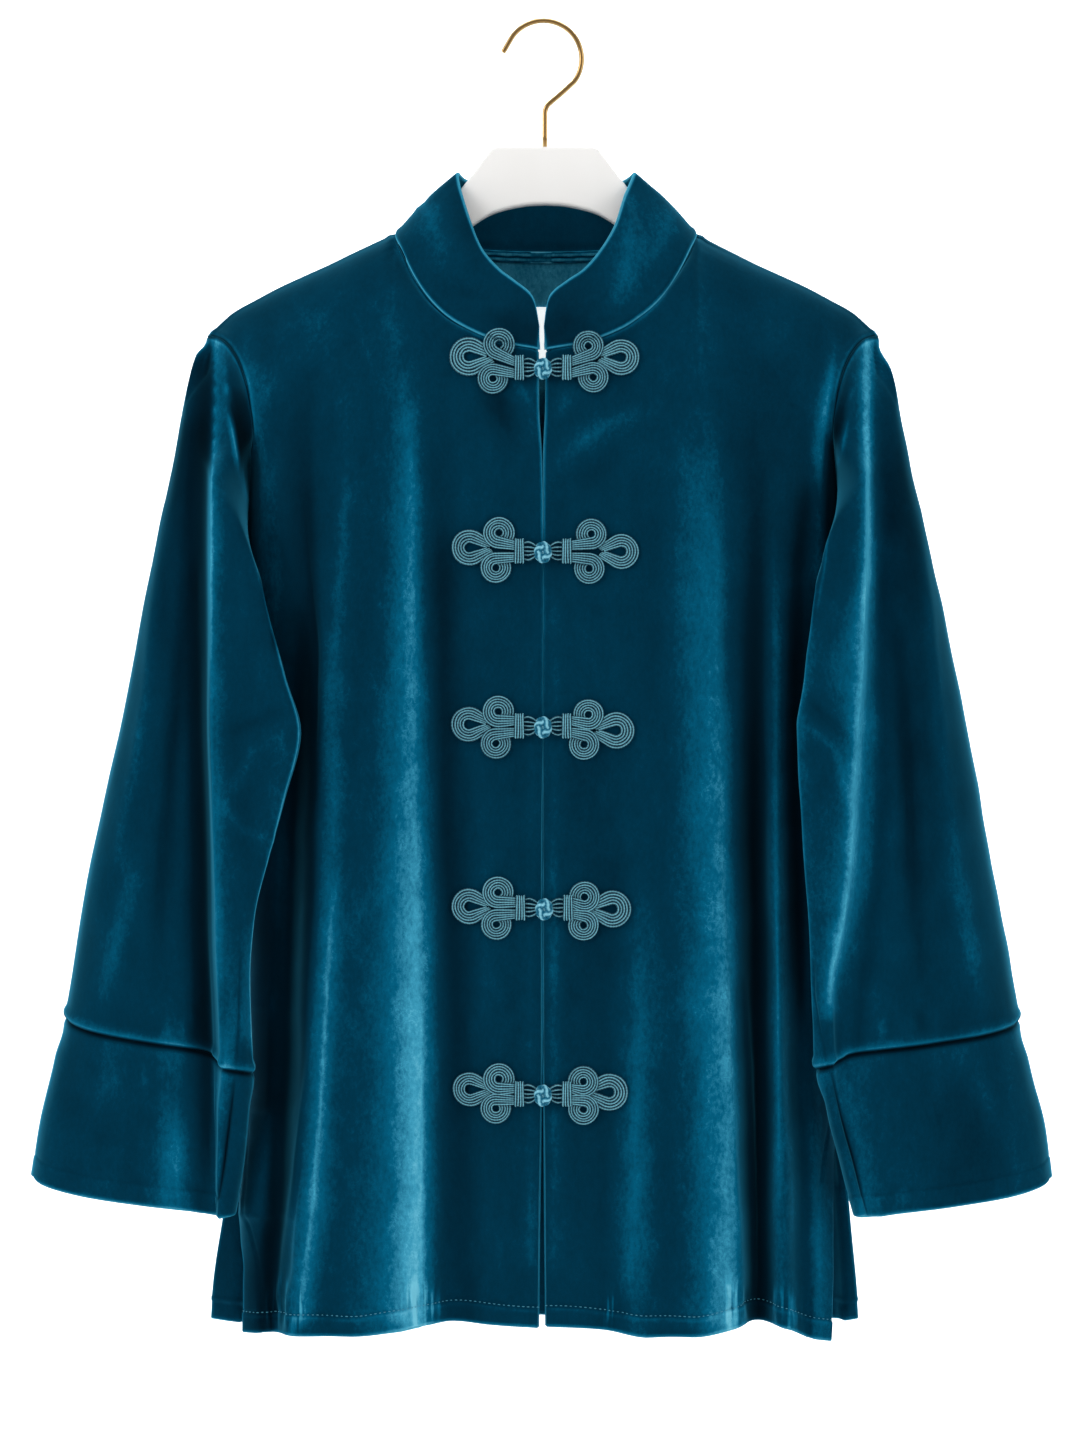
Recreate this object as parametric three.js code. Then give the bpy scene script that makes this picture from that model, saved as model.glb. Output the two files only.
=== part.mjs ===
// Velvet stand-collar jacket with five frog closures on a shaped hanger.  Millimetres, +Z up, front toward -Y.
// The origin is where a rail bears inside the hook.  side -1 is the wearer's right (x < 0), +1 the wearer's left.
import * as THREE from 'three';
import { mergeVertices } from 'three/addons/utils/BufferGeometryUtils.js';

// ---------------------------------------------------------------- main sizes
const CLOTH = 1.8;          // pile, ground and fusing together
const GAP = 0.3;            // between pieces at a seam
const UNDERARM_Z = -395;
const VENT_Z = -717;
const NECK_HALF = 101.5, NECK_MID = 1.9;   // half the neck seam, side to side, and its middle
const FRONT_DEPTH = 57, BACK_DEPTH = 44;
const V3 = (x, y, z) => new THREE.Vector3(x, y, z);
const lerp = (a, b, t) => a + (b - a) * t;
const clamp = (t) => Math.min(1, Math.max(0, t));
const smooth = (a, b, v) => { const t = clamp((v - a) / (b - a)); return t * t * (3 - 2 * t); };

// Monotone cubic through a table's rows; the first named column is the one looked up.
function track(names, rows) {
  const asc = rows[0][0] < rows[rows.length - 1][0] ? rows : [...rows].reverse();
  const xs = asc.map((r) => r[0]);
  const out = {};
  names.slice(1).forEach((name, k) => {
    const ys = asc.map((r) => r[k + 1]), n = xs.length;
    const d = xs.slice(1).map((x, i) => (ys[i + 1] - ys[i]) / (x - xs[i]));
    const m = xs.map((_, i) => (i === 0 ? d[0] : i === n - 1 ? d[n - 2] : d[i - 1] * d[i] <= 0 ? 0 : 2 * d[i - 1] * d[i] / (d[i - 1] + d[i])));
    out[name] = (x) => {
      if (x <= xs[0]) return ys[0];
      if (x >= xs[n - 1]) return ys[n - 1];
      let i = 0;
      while (x > xs[i + 1]) i++;
      const h = xs[i + 1] - xs[i], t = (x - xs[i]) / h, u = 1 - t;
      return ys[i] * u * u * (1 + 2 * t) + ys[i + 1] * t * t * (1 + 2 * u) + h * m[i] * t * u * u - h * m[i + 1] * t * t * u;
    };
  });
  return out;
}

// ---------------------------------------------------------------- tables of the cut as it hangs
// Shoulder line, neck point to shoulder tip.
const SHOULDER = track(['x', 'z'], [[99, -142.4], [111, -147.6], [127, -155], [143, -162.8], [159, -170], [175.6, -177.6], [191.7, -186], [208, -195], [216, -201.6], [225.4, -210]]);
// Front neck seam, neck point (f 0) to centre front (f 1).
const NECK = track(['f', 'right', 'left', 'z'], [
  [0, -99.6, 103.4, -142.4], [0.03, -99.2, 103.0, -144.6], [0.14, -95, 98.6, -154.5], [0.30, -86, 89, -173.5], [0.46, -75.5, 78, -189.5],
  [0.62, -62.5, 64, -202.4], [0.78, -46, 48, -212.3], [0.90, -26, 27, -220], [1, -3.2, 2.2, -224.5]]);
const neckY = (x, depth) => depth * Math.pow(Math.max(0, 1 - ((x - NECK_MID) / NECK_HALF) ** 2), 0.42);
// Front armhole seam, shoulder tip (f 0) to underarm (f 1).
const ARM_FRONT = track(['f', 'x', 'y', 'z'], [
  [0, 225.4, 0, -210], [0.035, 219.5, -7, -211.6], [0.09, 212.4, -15.5, -215.6], [0.20, 201, -29, -233], [0.31, 195, -37, -254],
  [0.42, 193.2, -33, -274], [0.52, 196, -20, -293], [0.66, 198, -11, -323], [0.83, 198.4, -5, -360], [1, 198, 0, UNDERARM_Z]]);
const ARM_BACK = track(['f', 'x', 'y', 'z'], [
  [0, 225.4, 0, -210], [0.04, 219.5, 7, -211.6], [0.14, 210, 19, -222], [0.30, 200, 28, -252], [0.50, 197, 27, -292], [0.72, 197.4, 17, -336], [0.88, 198, 7, -370], [1, 198, 0, UNDERARM_Z]]);
// Side seam to the vent, then each panel's free vent edge.
const SIDE = track(['z', 'x', 'y'], [[UNDERARM_Z, 198, 0], [-480, 196.5, 0], [-600, 196, -1], [VENT_Z, 196.5, -5]]);
const VENT = {
  front_right: track(['z', 'x', 'y'], [[VENT_Z, 196.5, -5], [-745, 199, -20], [-787, 201.4, -34], [-813, 200, -39], [-834, 197.8, -41], [-873, 197.4, -42]]),
  front_left: track(['z', 'x', 'y'], [[VENT_Z, 196.5, -5], [-745, 195, -22], [-787, 192, -38], [-813, 191, -44], [-834, 190.6, -46], [-878, 189.4, -48]]),
  back_right: track(['z', 'x', 'y'], [[VENT_Z, 196.5, -5], [-745, 204, 4], [-801, 215, 13], [-845, 222, 17], [-873, 224.3, 18]]),
  back_left: track(['z', 'x', 'y'], [[VENT_Z, 196.5, -5], [-745, 201, 4], [-801, 206.6, 13], [-845, 210.4, 17], [-873, 212.2, 18]]),
};
// Centre-front edges.
const EDGE = track(['z', 'right', 'left'], [
  [-224.5, -3.2, 2.2], [-262, -3.0, 1.9], [-296, -1.0, 0.6], [-330, -0.3, 0.5], [-480, -0.3, 0.5], [-530, -1.1, 0.5], [-600, -1.3, 0.5], [-690, -1.2, 0.7], [-735, -1.7, 1.2], [-800, -2.8, 1.7], [-870, -3.4, 2.2]]);
// Hem height across the panels.
const HEM = {
  front_right: track(['x', 'z'], [[-203, -873], [-175, -872], [-150, -872.4], [-126, -873], [-95, -869], [-75, -864], [-61, -863], [-35, -865], [-3, -867]]),
  front_left: track(['x', 'z'], [[2, -866], [38, -868], [70, -873], [97, -873], [125, -867], [140, -863.5], [158, -867], [175, -875], [190, -878]]),
  back: track(['x', 'z'], [[-225, -873], [-150, -876], [-70, -871], [10, -875], [90, -871], [160, -876], [213, -873]]),
};
// Folds: where the crest runs at the chest and at the hem, where it starts and is full, how far it stands out of
// (+) or sinks into (-) the cloth, and how far it reaches toward the side and toward the centre.
const FOLDS = {
  front_right: [
    { x0: -139, x1: -163, from: -330, full: -560, depth: 9, out: 15, in: 27 },
    { x0: -157, x1: -178, from: -380, full: -600, depth: -7, out: 12, in: 12 },
    { x0: -88, x1: -80, from: -225, full: -420, depth: 8, out: 34, in: 20 },
    { x0: -60, x1: -58, from: -420, full: -640, depth: -5, out: 18, in: 22 },
    { x0: -190, x1: -192, from: -212, full: -300, depth: 5, out: 12, in: 16, end: -430 },
  ],
  front_left: [
    { x0: 105, x1: 124, from: -240, full: -420, depth: 10, out: 15, in: 36 },
    { x0: 138, x1: 143, from: -330, full: -620, depth: -10, out: 14, in: 14 },
    { x0: 150, x1: 159, from: -420, full: -600, depth: 6, out: 9, in: 10 },
    { x0: 167, x1: 173, from: -480, full: -640, depth: -4, out: 9, in: 9 },
    { x0: 62, x1: 66, from: -560, full: -800, depth: 4, out: 18, in: 26 },
    { x0: 190, x1: 192, from: -212, full: -300, depth: 5, out: 12, in: 16, end: -430 },
  ],
  back: [
    { x0: -152, x1: -170, from: -330, full: -600, depth: 10, out: 18, in: 30 },
    { x0: -92, x1: -98, from: -300, full: -620, depth: -8, out: 24, in: 26 },
    { x0: -44, x1: -40, from: -260, full: -560, depth: 7, out: 30, in: 30 },
    { x0: 26, x1: 30, from: -380, full: -700, depth: -6, out: 24, in: 26 },
    { x0: 82, x1: 88, from: -270, full: -560, depth: 9, out: 26, in: 34 },
    { x0: 128, x1: 136, from: -340, full: -620, depth: -8, out: 18, in: 20 },
    { x0: 158, x1: 172, from: -330, full: -600, depth: 8, out: 16, in: 20 },
  ],
};
// Collar top edge, from the centre back (f -1) over the side (f 0) to the centre front (f 1).
const COLLAR = track(['f', 'right', 'left', 'y', 'z'], [
  [-1, 0, 0, 47, -106], [-0.75, -27, 29, 46, -105.5], [-0.5, -45.5, 48.5, 37, -103.5], [-0.25, -55.5, 59, 20, -101],
  [0, -58.2, 62.6, 0, -99.5], [0.14, -57, 59, -9, -108.5], [0.30, -54.1, 54.5, -17, -119.6], [0.46, -48.6, 49.3, -27, -137],
  [0.62, -40.5, 38.5, -34, -156.5], [0.76, -29, 27, -40, -170.3], [0.86, -18.5, 15.4, -43.5, -178.5], [0.95, -6.6, 4.0, -48, -190], [1, -2.3, 0.5, -52, -209]]);
// Sleeves by height: outer edge O, valley V, ridge R and inner fold I, each with how far out (x) and how far forward (y).
const SLEEVE = {
  sleeve_right: track(['z', 'Ox', 'Oy', 'Vx', 'Vy', 'Rx', 'Ry', 'Ix', 'Iy'], [
    [-205, 222, -6, 222, -9, 219.5, -14, 216, -14], [-225, 233, -9, 225.5, -17, 220.5, -30, 215, -27], [-240, 237.2, -11, 227.5, -22, 220, -39, 211.8, -35],
    [-262, 241.5, -13, 229, -28, 219, -49, 208, -44], [-290, 246.5, -15, 230, -34, 218.4, -57, 203.4, -51], [-350, 258, -17, 230.5, -43, 217.4, -67, 191.5, -62],
    [-400, 267.8, -18, 230, -48, 216.6, -72, 180.2, -68], [-440, 275.4, -19, 229, -51, 216.3, -75, 169.4, -72], [-476, 283, -20, 228.6, -53, 216, -77, 159.6, -75],
    [-520, 292.1, -21, 228, -55, 215.2, -78, 169.8, -75], [-560, 299.8, -22, 227.4, -56, 214.3, -79, 179.9, -74], [-600, 307.6, -23, 226.6, -57, 212.8, -79, 189, -71],
    [-640, 314, -24, 225.1, -58, 211.9, -77, 192, -67], [-700, 324.5, -25, 223, -58, 209.5, -72, 190.6, -63]]),
  sleeve_left: track(['z', 'Ox', 'Oy', 'Vx', 'Vy', 'Rx', 'Ry', 'Ix', 'Iy'], [
    [-205, 222, -6, 222, -9, 218, -14, 211, -14], [-225, 230, -9, 222.5, -17, 215.6, -30, 208.4, -26], [-240, 234.8, -11, 223, -22, 214, -39, 204.3, -34],
    [-262, 238.8, -13, 224, -28, 213.5, -48, 199.3, -43], [-290, 244.5, -15, 224, -34, 212.2, -56, 195, -50], [-350, 257.2, -17, 224, -45, 211, -66, 184.5, -61],
    [-400, 268.2, -18, 223, -51, 209.5, -70, 177.1, -67], [-440, 275.9, -19, 223, -55, 208, -73, 171.5, -70], [-476, 283, -20, 223, -57, 204.5, -76, 166.9, -73],
    [-520, 291.4, -21, 222, -60, 202, -77, 169.2, -73], [-560, 298.1, -22, 220, -62, 200, -78, 171.8, -73], [-600, 305.5, -23, 216, -64, 195.7, -77, 174.2, -72],
    [-640, 312.9, -24, 210, -65, 188.5, -74, 175.5, -68], [-700, 322.2, -25, 206, -62, 190, -69, 179.5, -63]]),
};
// Where sleeve ends and cuff begins, and the cuff's lower edge, by place round the ring: O, V, R, I and the back's middle K.
const CUFF = {
  cuff_right: { top: { O: -665, V: -687, R: -697, I: -701, K: -684 }, foot: { O: -770, V: -793, R: -795, I: -793, K: -782 },
    line: track(['t', 'Ox', 'Oy', 'Vx', 'Vy', 'Rx', 'Ry', 'Ix', 'Iy'], [
      [0, 319, -25, 222.3, -58, 210, -70, 191.5, -62.5], [0.35, 326.3, -26, 221, -58.5, 212, -66, 194.5, -60], [0.7, 334.4, -28, 219.5, -60, 212.6, -65, 198, -58], [1, 339.4, -29, 217, -61, 212, -65, 203, -58]]) },
  cuff_left: { top: { O: -667, V: -688, R: -695, I: -698, K: -684 }, foot: { O: -771, V: -794, R: -794, I: -794, K: -783 },
    line: track(['t', 'Ox', 'Oy', 'Vx', 'Vy', 'Rx', 'Ry', 'Ix', 'Iy'], [
      [0, 317, -25, 206, -62, 190.2, -69, 180.5, -62.5], [0.35, 325.3, -26, 211, -63, 194.5, -67, 187.5, -60], [0.7, 334.2, -28, 217, -63, 202.5, -66, 196.5, -58], [1, 338, -29, 222, -63, 210.5, -66, 204.5, -58]]) },
};
const RING_FRONT = 12, RING_BACK = 8;

// ---------------------------------------------------------------- solids from grids of points
// cells: rows of { p, n? }; the wall's inner face lies CLOTH behind the outer one, along n or the surface's own normal.
function wall(cells, { closed = false, outside, thick = CLOTH }) {
  const R = cells.length, C = cells[0].length;
  const P = (r, c) => cells[r][closed ? (c + C) % C : c].p;
  const cn = cells.map((row, r) => row.map((cell, c) => {
    const r0 = Math.max(0, r - 1), r1 = Math.min(R - 1, r + 1);
    const c0 = closed ? c - 1 : Math.max(0, c - 1), c1 = closed ? c + 1 : Math.min(C - 1, c + 1);
    return P(r1, c).clone().sub(P(r0, c)).cross(P(r, c1).clone().sub(P(r, c0))).normalize();
  }));
  let s = 0;
  cn.forEach((row, r) => row.forEach((n, c) => { s += n.dot(outside(P(r, c))); }));
  const pos = [], idx = [];
  cells.forEach((row) => row.forEach(({ p }) => pos.push(p.x, p.y, p.z)));
  cells.forEach((row, r) => row.forEach((cell, c) => {
    const n = cell.n ?? cn[r][c].multiplyScalar(Math.sign(s));
    const q = cell.p.clone().addScaledVector(n, -thick);
    pos.push(q.x, q.y, q.z);
  }));
  const N = R * C, at = (r, c, k) => k * N + r * C + (closed ? c % C : c);
  const quad = (a, b, c, d) => idx.push(a, b, c, a, c, d);
  const CC = closed ? C : C - 1;
  for (let r = 0; r < R - 1; r++) for (let c = 0; c < CC; c++) {
    quad(at(r, c, 0), at(r + 1, c, 0), at(r + 1, c + 1, 0), at(r, c + 1, 0));
    quad(at(r, c, 1), at(r, c + 1, 1), at(r + 1, c + 1, 1), at(r + 1, c, 1));
  }
  for (let c = 0; c < CC; c++) {
    quad(at(0, c, 0), at(0, c + 1, 0), at(0, c + 1, 1), at(0, c, 1));
    quad(at(R - 1, c, 0), at(R - 1, c, 1), at(R - 1, c + 1, 1), at(R - 1, c + 1, 0));
  }
  if (!closed) for (let r = 0; r < R - 1; r++) {
    quad(at(r, 0, 0), at(r, 0, 1), at(r + 1, 0, 1), at(r + 1, 0, 0));
    quad(at(r, C - 1, 0), at(r + 1, C - 1, 0), at(r + 1, C - 1, 1), at(r, C - 1, 1));
  }
  return solid(pos, idx);
}
// A closed body from points and faces, turned outward.
function solid(pos, idx) {
  let vol = 0;
  const v = (i) => V3(pos[3 * i], pos[3 * i + 1], pos[3 * i + 2]);
  for (let i = 0; i < idx.length; i += 3) vol += v(idx[i]).dot(v(idx[i + 1]).cross(v(idx[i + 2])));
  if (vol < 0) for (let i = 0; i < idx.length; i += 3) [idx[i], idx[i + 1]] = [idx[i + 1], idx[i]];
  const g = new THREE.BufferGeometry();
  g.setAttribute('position', new THREE.Float32BufferAttribute(pos, 3));
  g.setIndex(idx);
  return g;
}
// Rings of equal length joined into a tube with closed ends.
function capped(rings) {
  const pos = [], idx = [], n = rings[0].length, m = rings.length;
  rings.forEach((ring) => ring.forEach((p) => pos.push(p.x, p.y, p.z)));
  for (let r = 0; r < m - 1; r++) for (let c = 0; c < n; c++) {
    const a = r * n + c, b = r * n + (c + 1) % n;
    idx.push(a, b, b + n, a, b + n, a + n);
  }
  for (const [base, flip] of [[0, true], [(m - 1) * n, false]]) for (let c = 1; c < n - 1; c++)
    idx.push(base, ...(flip ? [base + c + 1, base + c] : [base + c, base + c + 1]));
  return solid(pos, idx);
}
// Seam points with the outward direction n they share, and b, along the cloth toward `side`.
function seam(points, normalOf, side, loop = false) {
  const n = points.length;
  return points.map((p, i) => {
    const a = loop ? points[(i + n - 1) % n] : points[Math.max(0, i - 1)], c = loop ? points[(i + 1) % n] : points[Math.min(n - 1, i + 1)];
    const t = c.clone().sub(a).normalize(), nn = normalOf(p, t);
    const b = t.clone().cross(nn).normalize();
    return { p, n: nn, b: b.multiplyScalar(Math.sign(b.dot(side(p))) || 1) };
  });
}

// ---------------------------------------------------------------- shared seams
const SIDES = { right: -1, left: 1 };
const ARM_F = [0, 0.035, 0.09, 0.17, 0.25, 0.33, 0.41, 0.48, 0.55, 0.64, 0.75, 0.87, 1];   // RING_FRONT + 1 places
const ARM_B = [0, 0.04, 0.14, 0.28, 0.42, 0.56, 0.70, 0.86, 1];                           // RING_BACK + 1 places
const NECK_F = [0, 0.03, 0.16, 0.31, 0.47, 0.64, 0.82, 1];
const SHOULDER_U = [0, 0.14, 0.28, 0.42, 0.56, 0.70, 0.82, 0.92, 1];
const armhole = {}, shoulder = {}, neckFront = {};
for (const [who, s] of Object.entries(SIDES)) {
  const loop = [...ARM_F.map((f) => V3(s * ARM_FRONT.x(f), ARM_FRONT.y(f), ARM_FRONT.z(f))),
    ...ARM_B.slice(1, -1).reverse().map((f) => V3(s * ARM_BACK.x(f), ARM_BACK.y(f), ARM_BACK.z(f)))];
  armhole[who] = seam(loop, (p, t) => {
    const n = V3(0, -t.z, t.y).normalize();
    return n.multiplyScalar(Math.sign(n.dot(V3(0, p.y, p.z + 300))) || 1);
  }, () => V3(s, 0, 0), true);
  const x0 = Math.abs(NECK[who](0)), x1 = ARM_FRONT.x(0);
  shoulder[who] = SHOULDER_U.map((u) => {
    const x = lerp(x0, x1, u), dz = SHOULDER.z(x + 1) - SHOULDER.z(x - 1);
    return { p: V3(s * x, 0, u === 0 ? NECK.z(0) : SHOULDER.z(x)), n: V3(-s * dz, 0, 2).normalize() };
  });
  neckFront[who] = seam(NECK_F.map((f) => { const x = NECK[who](f); return V3(x, f === 0 ? 0 : neckY(x, -55), NECK.z(f)); }),
    (p, t) => {
      const n = V3(Math.sign(p.x) * 0.62 * (Math.abs(p.x) / 100) ** 2, -0.9 * Math.sqrt(Math.max(0, 1 - (p.x / NECK_HALF) ** 2)), lerp(0.32, 0.8, (Math.abs(p.x) / 100) ** 2));
      return n.addScaledVector(t, -n.dot(t)).normalize();
    }, () => V3(0, 0.3, 1));
}
const backNeckZ = (x) => -152 + (152 - 142.4) * Math.pow(Math.abs(x - NECK_MID) / NECK_HALF, 2.2);
const NECK_B = [0, 0.03, 0.12, 0.27, 0.5, 0.73, 0.88, 0.97, 1];
const neckBack = seam(NECK_B.map((f, i) => {
  if (i === 0) return neckFront.right[0].p.clone();
  if (i === NECK_B.length - 1) return neckFront.left[0].p.clone();
  const x = lerp(NECK.right(0), NECK.left(0), 0.5 - 0.5 * Math.cos(Math.PI * f));
  return V3(x, neckY(x, 42), backNeckZ(x));
}), (p, t) => {
  const e = clamp(Math.abs(p.x) / 100), n = V3(Math.sign(p.x) * 0.62 * e ** 3, 0.95 * Math.sqrt(Math.max(0, 1 - e * e)), lerp(0.25, 0.8, e * e));
  return n.addScaledVector(t, -n.dot(t)).normalize();
}, () => V3(0, 0, 1));
for (const who of ['right', 'left']) neckFront[who][0].n.copy(V3(SIDES[who] * 0.6, 0, 0.8));
neckBack[0].n.copy(V3(-0.6, 0, 0.8)); neckBack[NECK_B.length - 1].n.copy(V3(0.6, 0, 0.8));
for (const s of [neckFront.right[0], neckFront.left[0], neckBack[0], neckBack[NECK_B.length - 1]]) s.b = V3(-Math.sign(s.p.x) * 0.8, 0, 0.6);

// ---------------------------------------------------------------- body panels
const fullWidth = (z) => lerp(198, 226, clamp((z - UNDERARM_Z) / 185) ** 2) + 6 * smooth(VENT_Z, -873, z);
const crest = (f, z) => lerp(f.x0, f.x1, clamp((z + 300) / -573));
function folds(list, x, z) {
  let d = 0;
  for (const f of list) {
    const grow = smooth(f.from, f.full, z) * (f.end ? 1 - smooth(f.full, f.end, z) : 1);
    if (!grow) continue;
    const dx = (x - crest(f, z)) * Math.sign(f.x0), w = dx > 0 ? f.out : f.in;
    if (Math.abs(dx) < w) d += f.depth * grow * Math.cos(Math.PI / 2 * dx / w) ** 2;
  }
  return d;
}
// How far the cloth stands from the hanger's plane at (x, z); dir -1 front, +1 back.
function stand(x, z, dir) {
  const ax = Math.abs(x), inNeck = Math.abs(x - NECK_MID) < NECK_HALF;
  const topZ = !inNeck ? SHOULDER.z(ax) : dir > 0 ? backNeckZ(x) : neckZ(x);
  const top = inNeck ? neckY(x, dir > 0 ? 42 : 55) : 0;
  const drop = Math.max(0, topZ - z), q = Math.sqrt(1 - (1 - clamp(drop / (dir > 0 ? 150 : 190))) ** 2);
  const full = (dir > 0 ? BACK_DEPTH + 4 * smooth(-400, -873, z) : FRONT_DEPTH + 7 * smooth(-350, -873, z)) * Math.sqrt(1 - clamp(ax / fullWidth(z)) ** 5);
  return top + (full - top) * q;
}
const NECK_X = [...Array(41)].map((_, i) => [NECK.left(i / 40), NECK.z(i / 40)]);
const neckZ = (x) => {
  const ax = Math.abs(x);
  for (let i = 0; i < 40; i++) if (NECK_X[i + 1][0] <= ax) return lerp(NECK_X[i][1], NECK_X[i + 1][1], clamp((NECK_X[i][0] - ax) / (NECK_X[i][0] - NECK_X[i + 1][0])));
  return NECK.z(1);
};
const LOWER_Z = [-450, -520, -590, -655, VENT_Z, -762, -815, -873];      // rows under the underarm
const lowerEdge = (name, who, z) => {
  const s = SIDES[who], v = z > VENT_Z ? SIDE : VENT[name];
  return V3(s * v.x(z), v.y(z), z);
};

function frontPanel(who) {
  const s = SIDES[who], name = `front_${who}`, COLS = 16, A = [], B = [];
  const up = RING_FRONT, cfZ = [-258, -292, -326, -360, UNDERARM_Z - 3];
  for (let j = 0; j <= up; j++) {
    B.push({ ...armhole[who][j], shift: armhole[who][j].b.clone().multiplyScalar(-GAP / 2) });
    if (j < NECK_F.length) A.push({ ...neckFront[who][j], shift: neckFront[who][j].b.clone().multiplyScalar(-GAP / 2) });
    else { const z = cfZ[j - NECK_F.length]; A.push({ p: V3(EDGE[who](z), 0, z), free: true }); }
  }
  LOWER_Z.forEach((z) => {
    const onSeam = z >= VENT_Z;
    A.push({ p: V3(EDGE[who](z), 0, z), free: true });
    B.push({ p: lowerEdge(name, who, z), n: onSeam ? V3(s, 0, 0) : null, shift: onSeam ? V3(0, -GAP / 2, 0) : V3(0, 0, 0) });
  });
  const y = (x, z) => -stand(x, z, -1) - folds(FOLDS[name], x, z);
  const rows = A.map((a, j) => {
    const b = B[j], cA = a.free ? 0 : a.p.y - y(a.p.x, a.p.z), cB = b.p.y - y(b.p.x, b.p.z), row = [];
    for (let i = 0; i <= COLS; i++) {
      if (j === 0) {
        const k = shoulder[who][i >> 1], l = shoulder[who][(i + 1) >> 1];
        row.push({ p: k.p.clone().lerp(l.p, 0.5).add(V3(0, -GAP / 2, 0)), n: k.n.clone().add(l.n).normalize() });
        continue;
      }
      const t = i / COLS, u = j < NECK_F.length - 1 ? t : lerp(t, 1 - (1 - t) ** 1.3, 0.8);
      const x = lerp(a.p.x, b.p.x, u);
      let z = lerp(a.p.z, b.p.z, u);
      if (j < up) {
        const x0 = Math.abs(lerp(shoulder[who][0].p.x, shoulder[who][8].p.x, t)), z0 = lerp(shoulder[who][0].p.z, shoulder[who][8].p.z, t);
        z += (SHOULDER.z(x0) - z0) * (1 - (j - 1) / (up - 1)) ** 2;
        if (j === 1 && i > 0 && i < COLS) z = SHOULDER.z(Math.abs(x)) - 2 + (b.p.z - SHOULDER.z(Math.abs(b.p.x)) + 2) * u ** 9;
      } else z += (HEM[name].z(x) + 873) * smooth(UNDERARM_Z, -873, z);
      const p = V3(x, i === 0 && !a.free ? a.p.y : i === COLS ? b.p.y : y(x, z) + cA * (1 - u) ** 5 + cB * u ** 6, z);
      const cell = { p };
      if (i === 0 && a.n) { cell.n = a.n; }
      if (i === COLS && b.n) { cell.n = b.n; }
      if (i === 0 && a.shift) p.add(a.shift);
      if (i === COLS && b.shift) p.add(b.shift);
      row.push(cell);
    }
    return row;
  });
  rows[0][0].p.add(neckFront[who][0].b.clone().multiplyScalar(-GAP / 2));
  rows[0][0].n = neckFront[who][0].n;
  rows[0][COLS].p.add(armhole[who][0].b.clone().multiplyScalar(-GAP / 2));
  rows[0][COLS].n = armhole[who][0].n;
  rows[up][COLS].p.y -= GAP / 2;
  return rows;
}

function backPanel() {
  const half = SHOULDER_U.length - 1, mid = NECK_B.length - 1, C = 2 * half + mid;
  const top = [...[...shoulder.right].reverse().slice(0, -1).map((k) => ({ p: k.p.clone().add(V3(0, GAP / 2, 0)), n: k.n })),
    ...neckBack.map((k, i) => ({ p: k.p.clone().addScaledVector(k.b, -GAP / 2).add(V3(0, i === 0 || i === mid ? GAP / 2 : 0, 0)), n: k.n })),
    ...shoulder.left.slice(1).map((k) => ({ p: k.p.clone().add(V3(0, GAP / 2, 0)), n: k.n }))];
  const rows = [top], up = RING_BACK, y = (x, z) => stand(x, z, 1) + folds(FOLDS.back, x, z);
  const arm = (who, j) => armhole[who][(RING_FRONT + RING_BACK - j) % (RING_FRONT + RING_BACK)];
  top[0].p.add(arm('right', 0).b.clone().multiplyScalar(-GAP / 2)); top[0].n = arm('right', 0).n;
  top[C].p.add(arm('left', 0).b.clone().multiplyScalar(-GAP / 2)); top[C].n = arm('left', 0).n;
  for (let j = 1; j <= up + LOWER_Z.length; j++) {
    const e = {};
    for (const who of ['right', 'left']) {
      if (j <= up) e[who] = { ...arm(who, j), shift: arm(who, j).b.clone().multiplyScalar(-GAP / 2) };
      else { const z = LOWER_Z[j - up - 1]; e[who] = { p: lowerEdge(`back_${who}`, who, z), n: z >= VENT_Z ? V3(SIDES[who], 0, 0) : null, shift: V3(0, z >= VENT_Z ? GAP / 2 : 0, 0) }; }
    }
    const row = [], f = j / up;
    for (let i = 0; i <= C; i++) {
      const t = i / C;
      // columns start under the shoulder points and spread evenly by the underarm
      const even = lerp(e.right.p.x, e.left.p.x, t), start = top[i].p.x * (Math.abs(e.right.p.x) / Math.abs(top[0].p.x));
      const x = i === 0 ? e.right.p.x : i === C ? e.left.p.x : lerp(start, even, smooth(0, 1.2, f));
      const tt = clamp((x - e.right.p.x) / (e.left.p.x - e.right.p.x));
      let z = lerp(e.right.p.z, e.left.p.z, tt);
      if (j <= up) {
        const fall = (-210 - e.right.p.z) / 185, level = (v) => lerp(Math.abs(v - NECK_MID) < NECK_HALF ? backNeckZ(v) : SHOULDER.z(Math.abs(v)), UNDERARM_Z, fall), end = x < 0 ? e.right.p : e.left.p;
        z = level(x) + (end.z - level(end.x)) * Math.abs(x / end.x) ** 9;
        if (i === 0) z = e.right.p.z;
        if (i === C) z = e.left.p.z;
      } else z += (HEM.back.z(x) + 873) * smooth(UNDERARM_Z, -873, z);
      const edge = x < 0 ? e.right : e.left, c = edge.p.y - y(edge.p.x, edge.p.z), far = Math.abs(x) / Math.abs(edge.p.x);
      const p = V3(x, i === 0 || i === C ? edge.p.y : y(x, z) + c * far ** 10, z), cell = { p };
      if (i === 0 || i === C) { if (edge.n) cell.n = edge.n; p.add(edge.shift); if (j === up) p.y += GAP / 2; }
      row.push(cell);
    }
    rows.push(row);
  }
  return rows;
}

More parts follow.
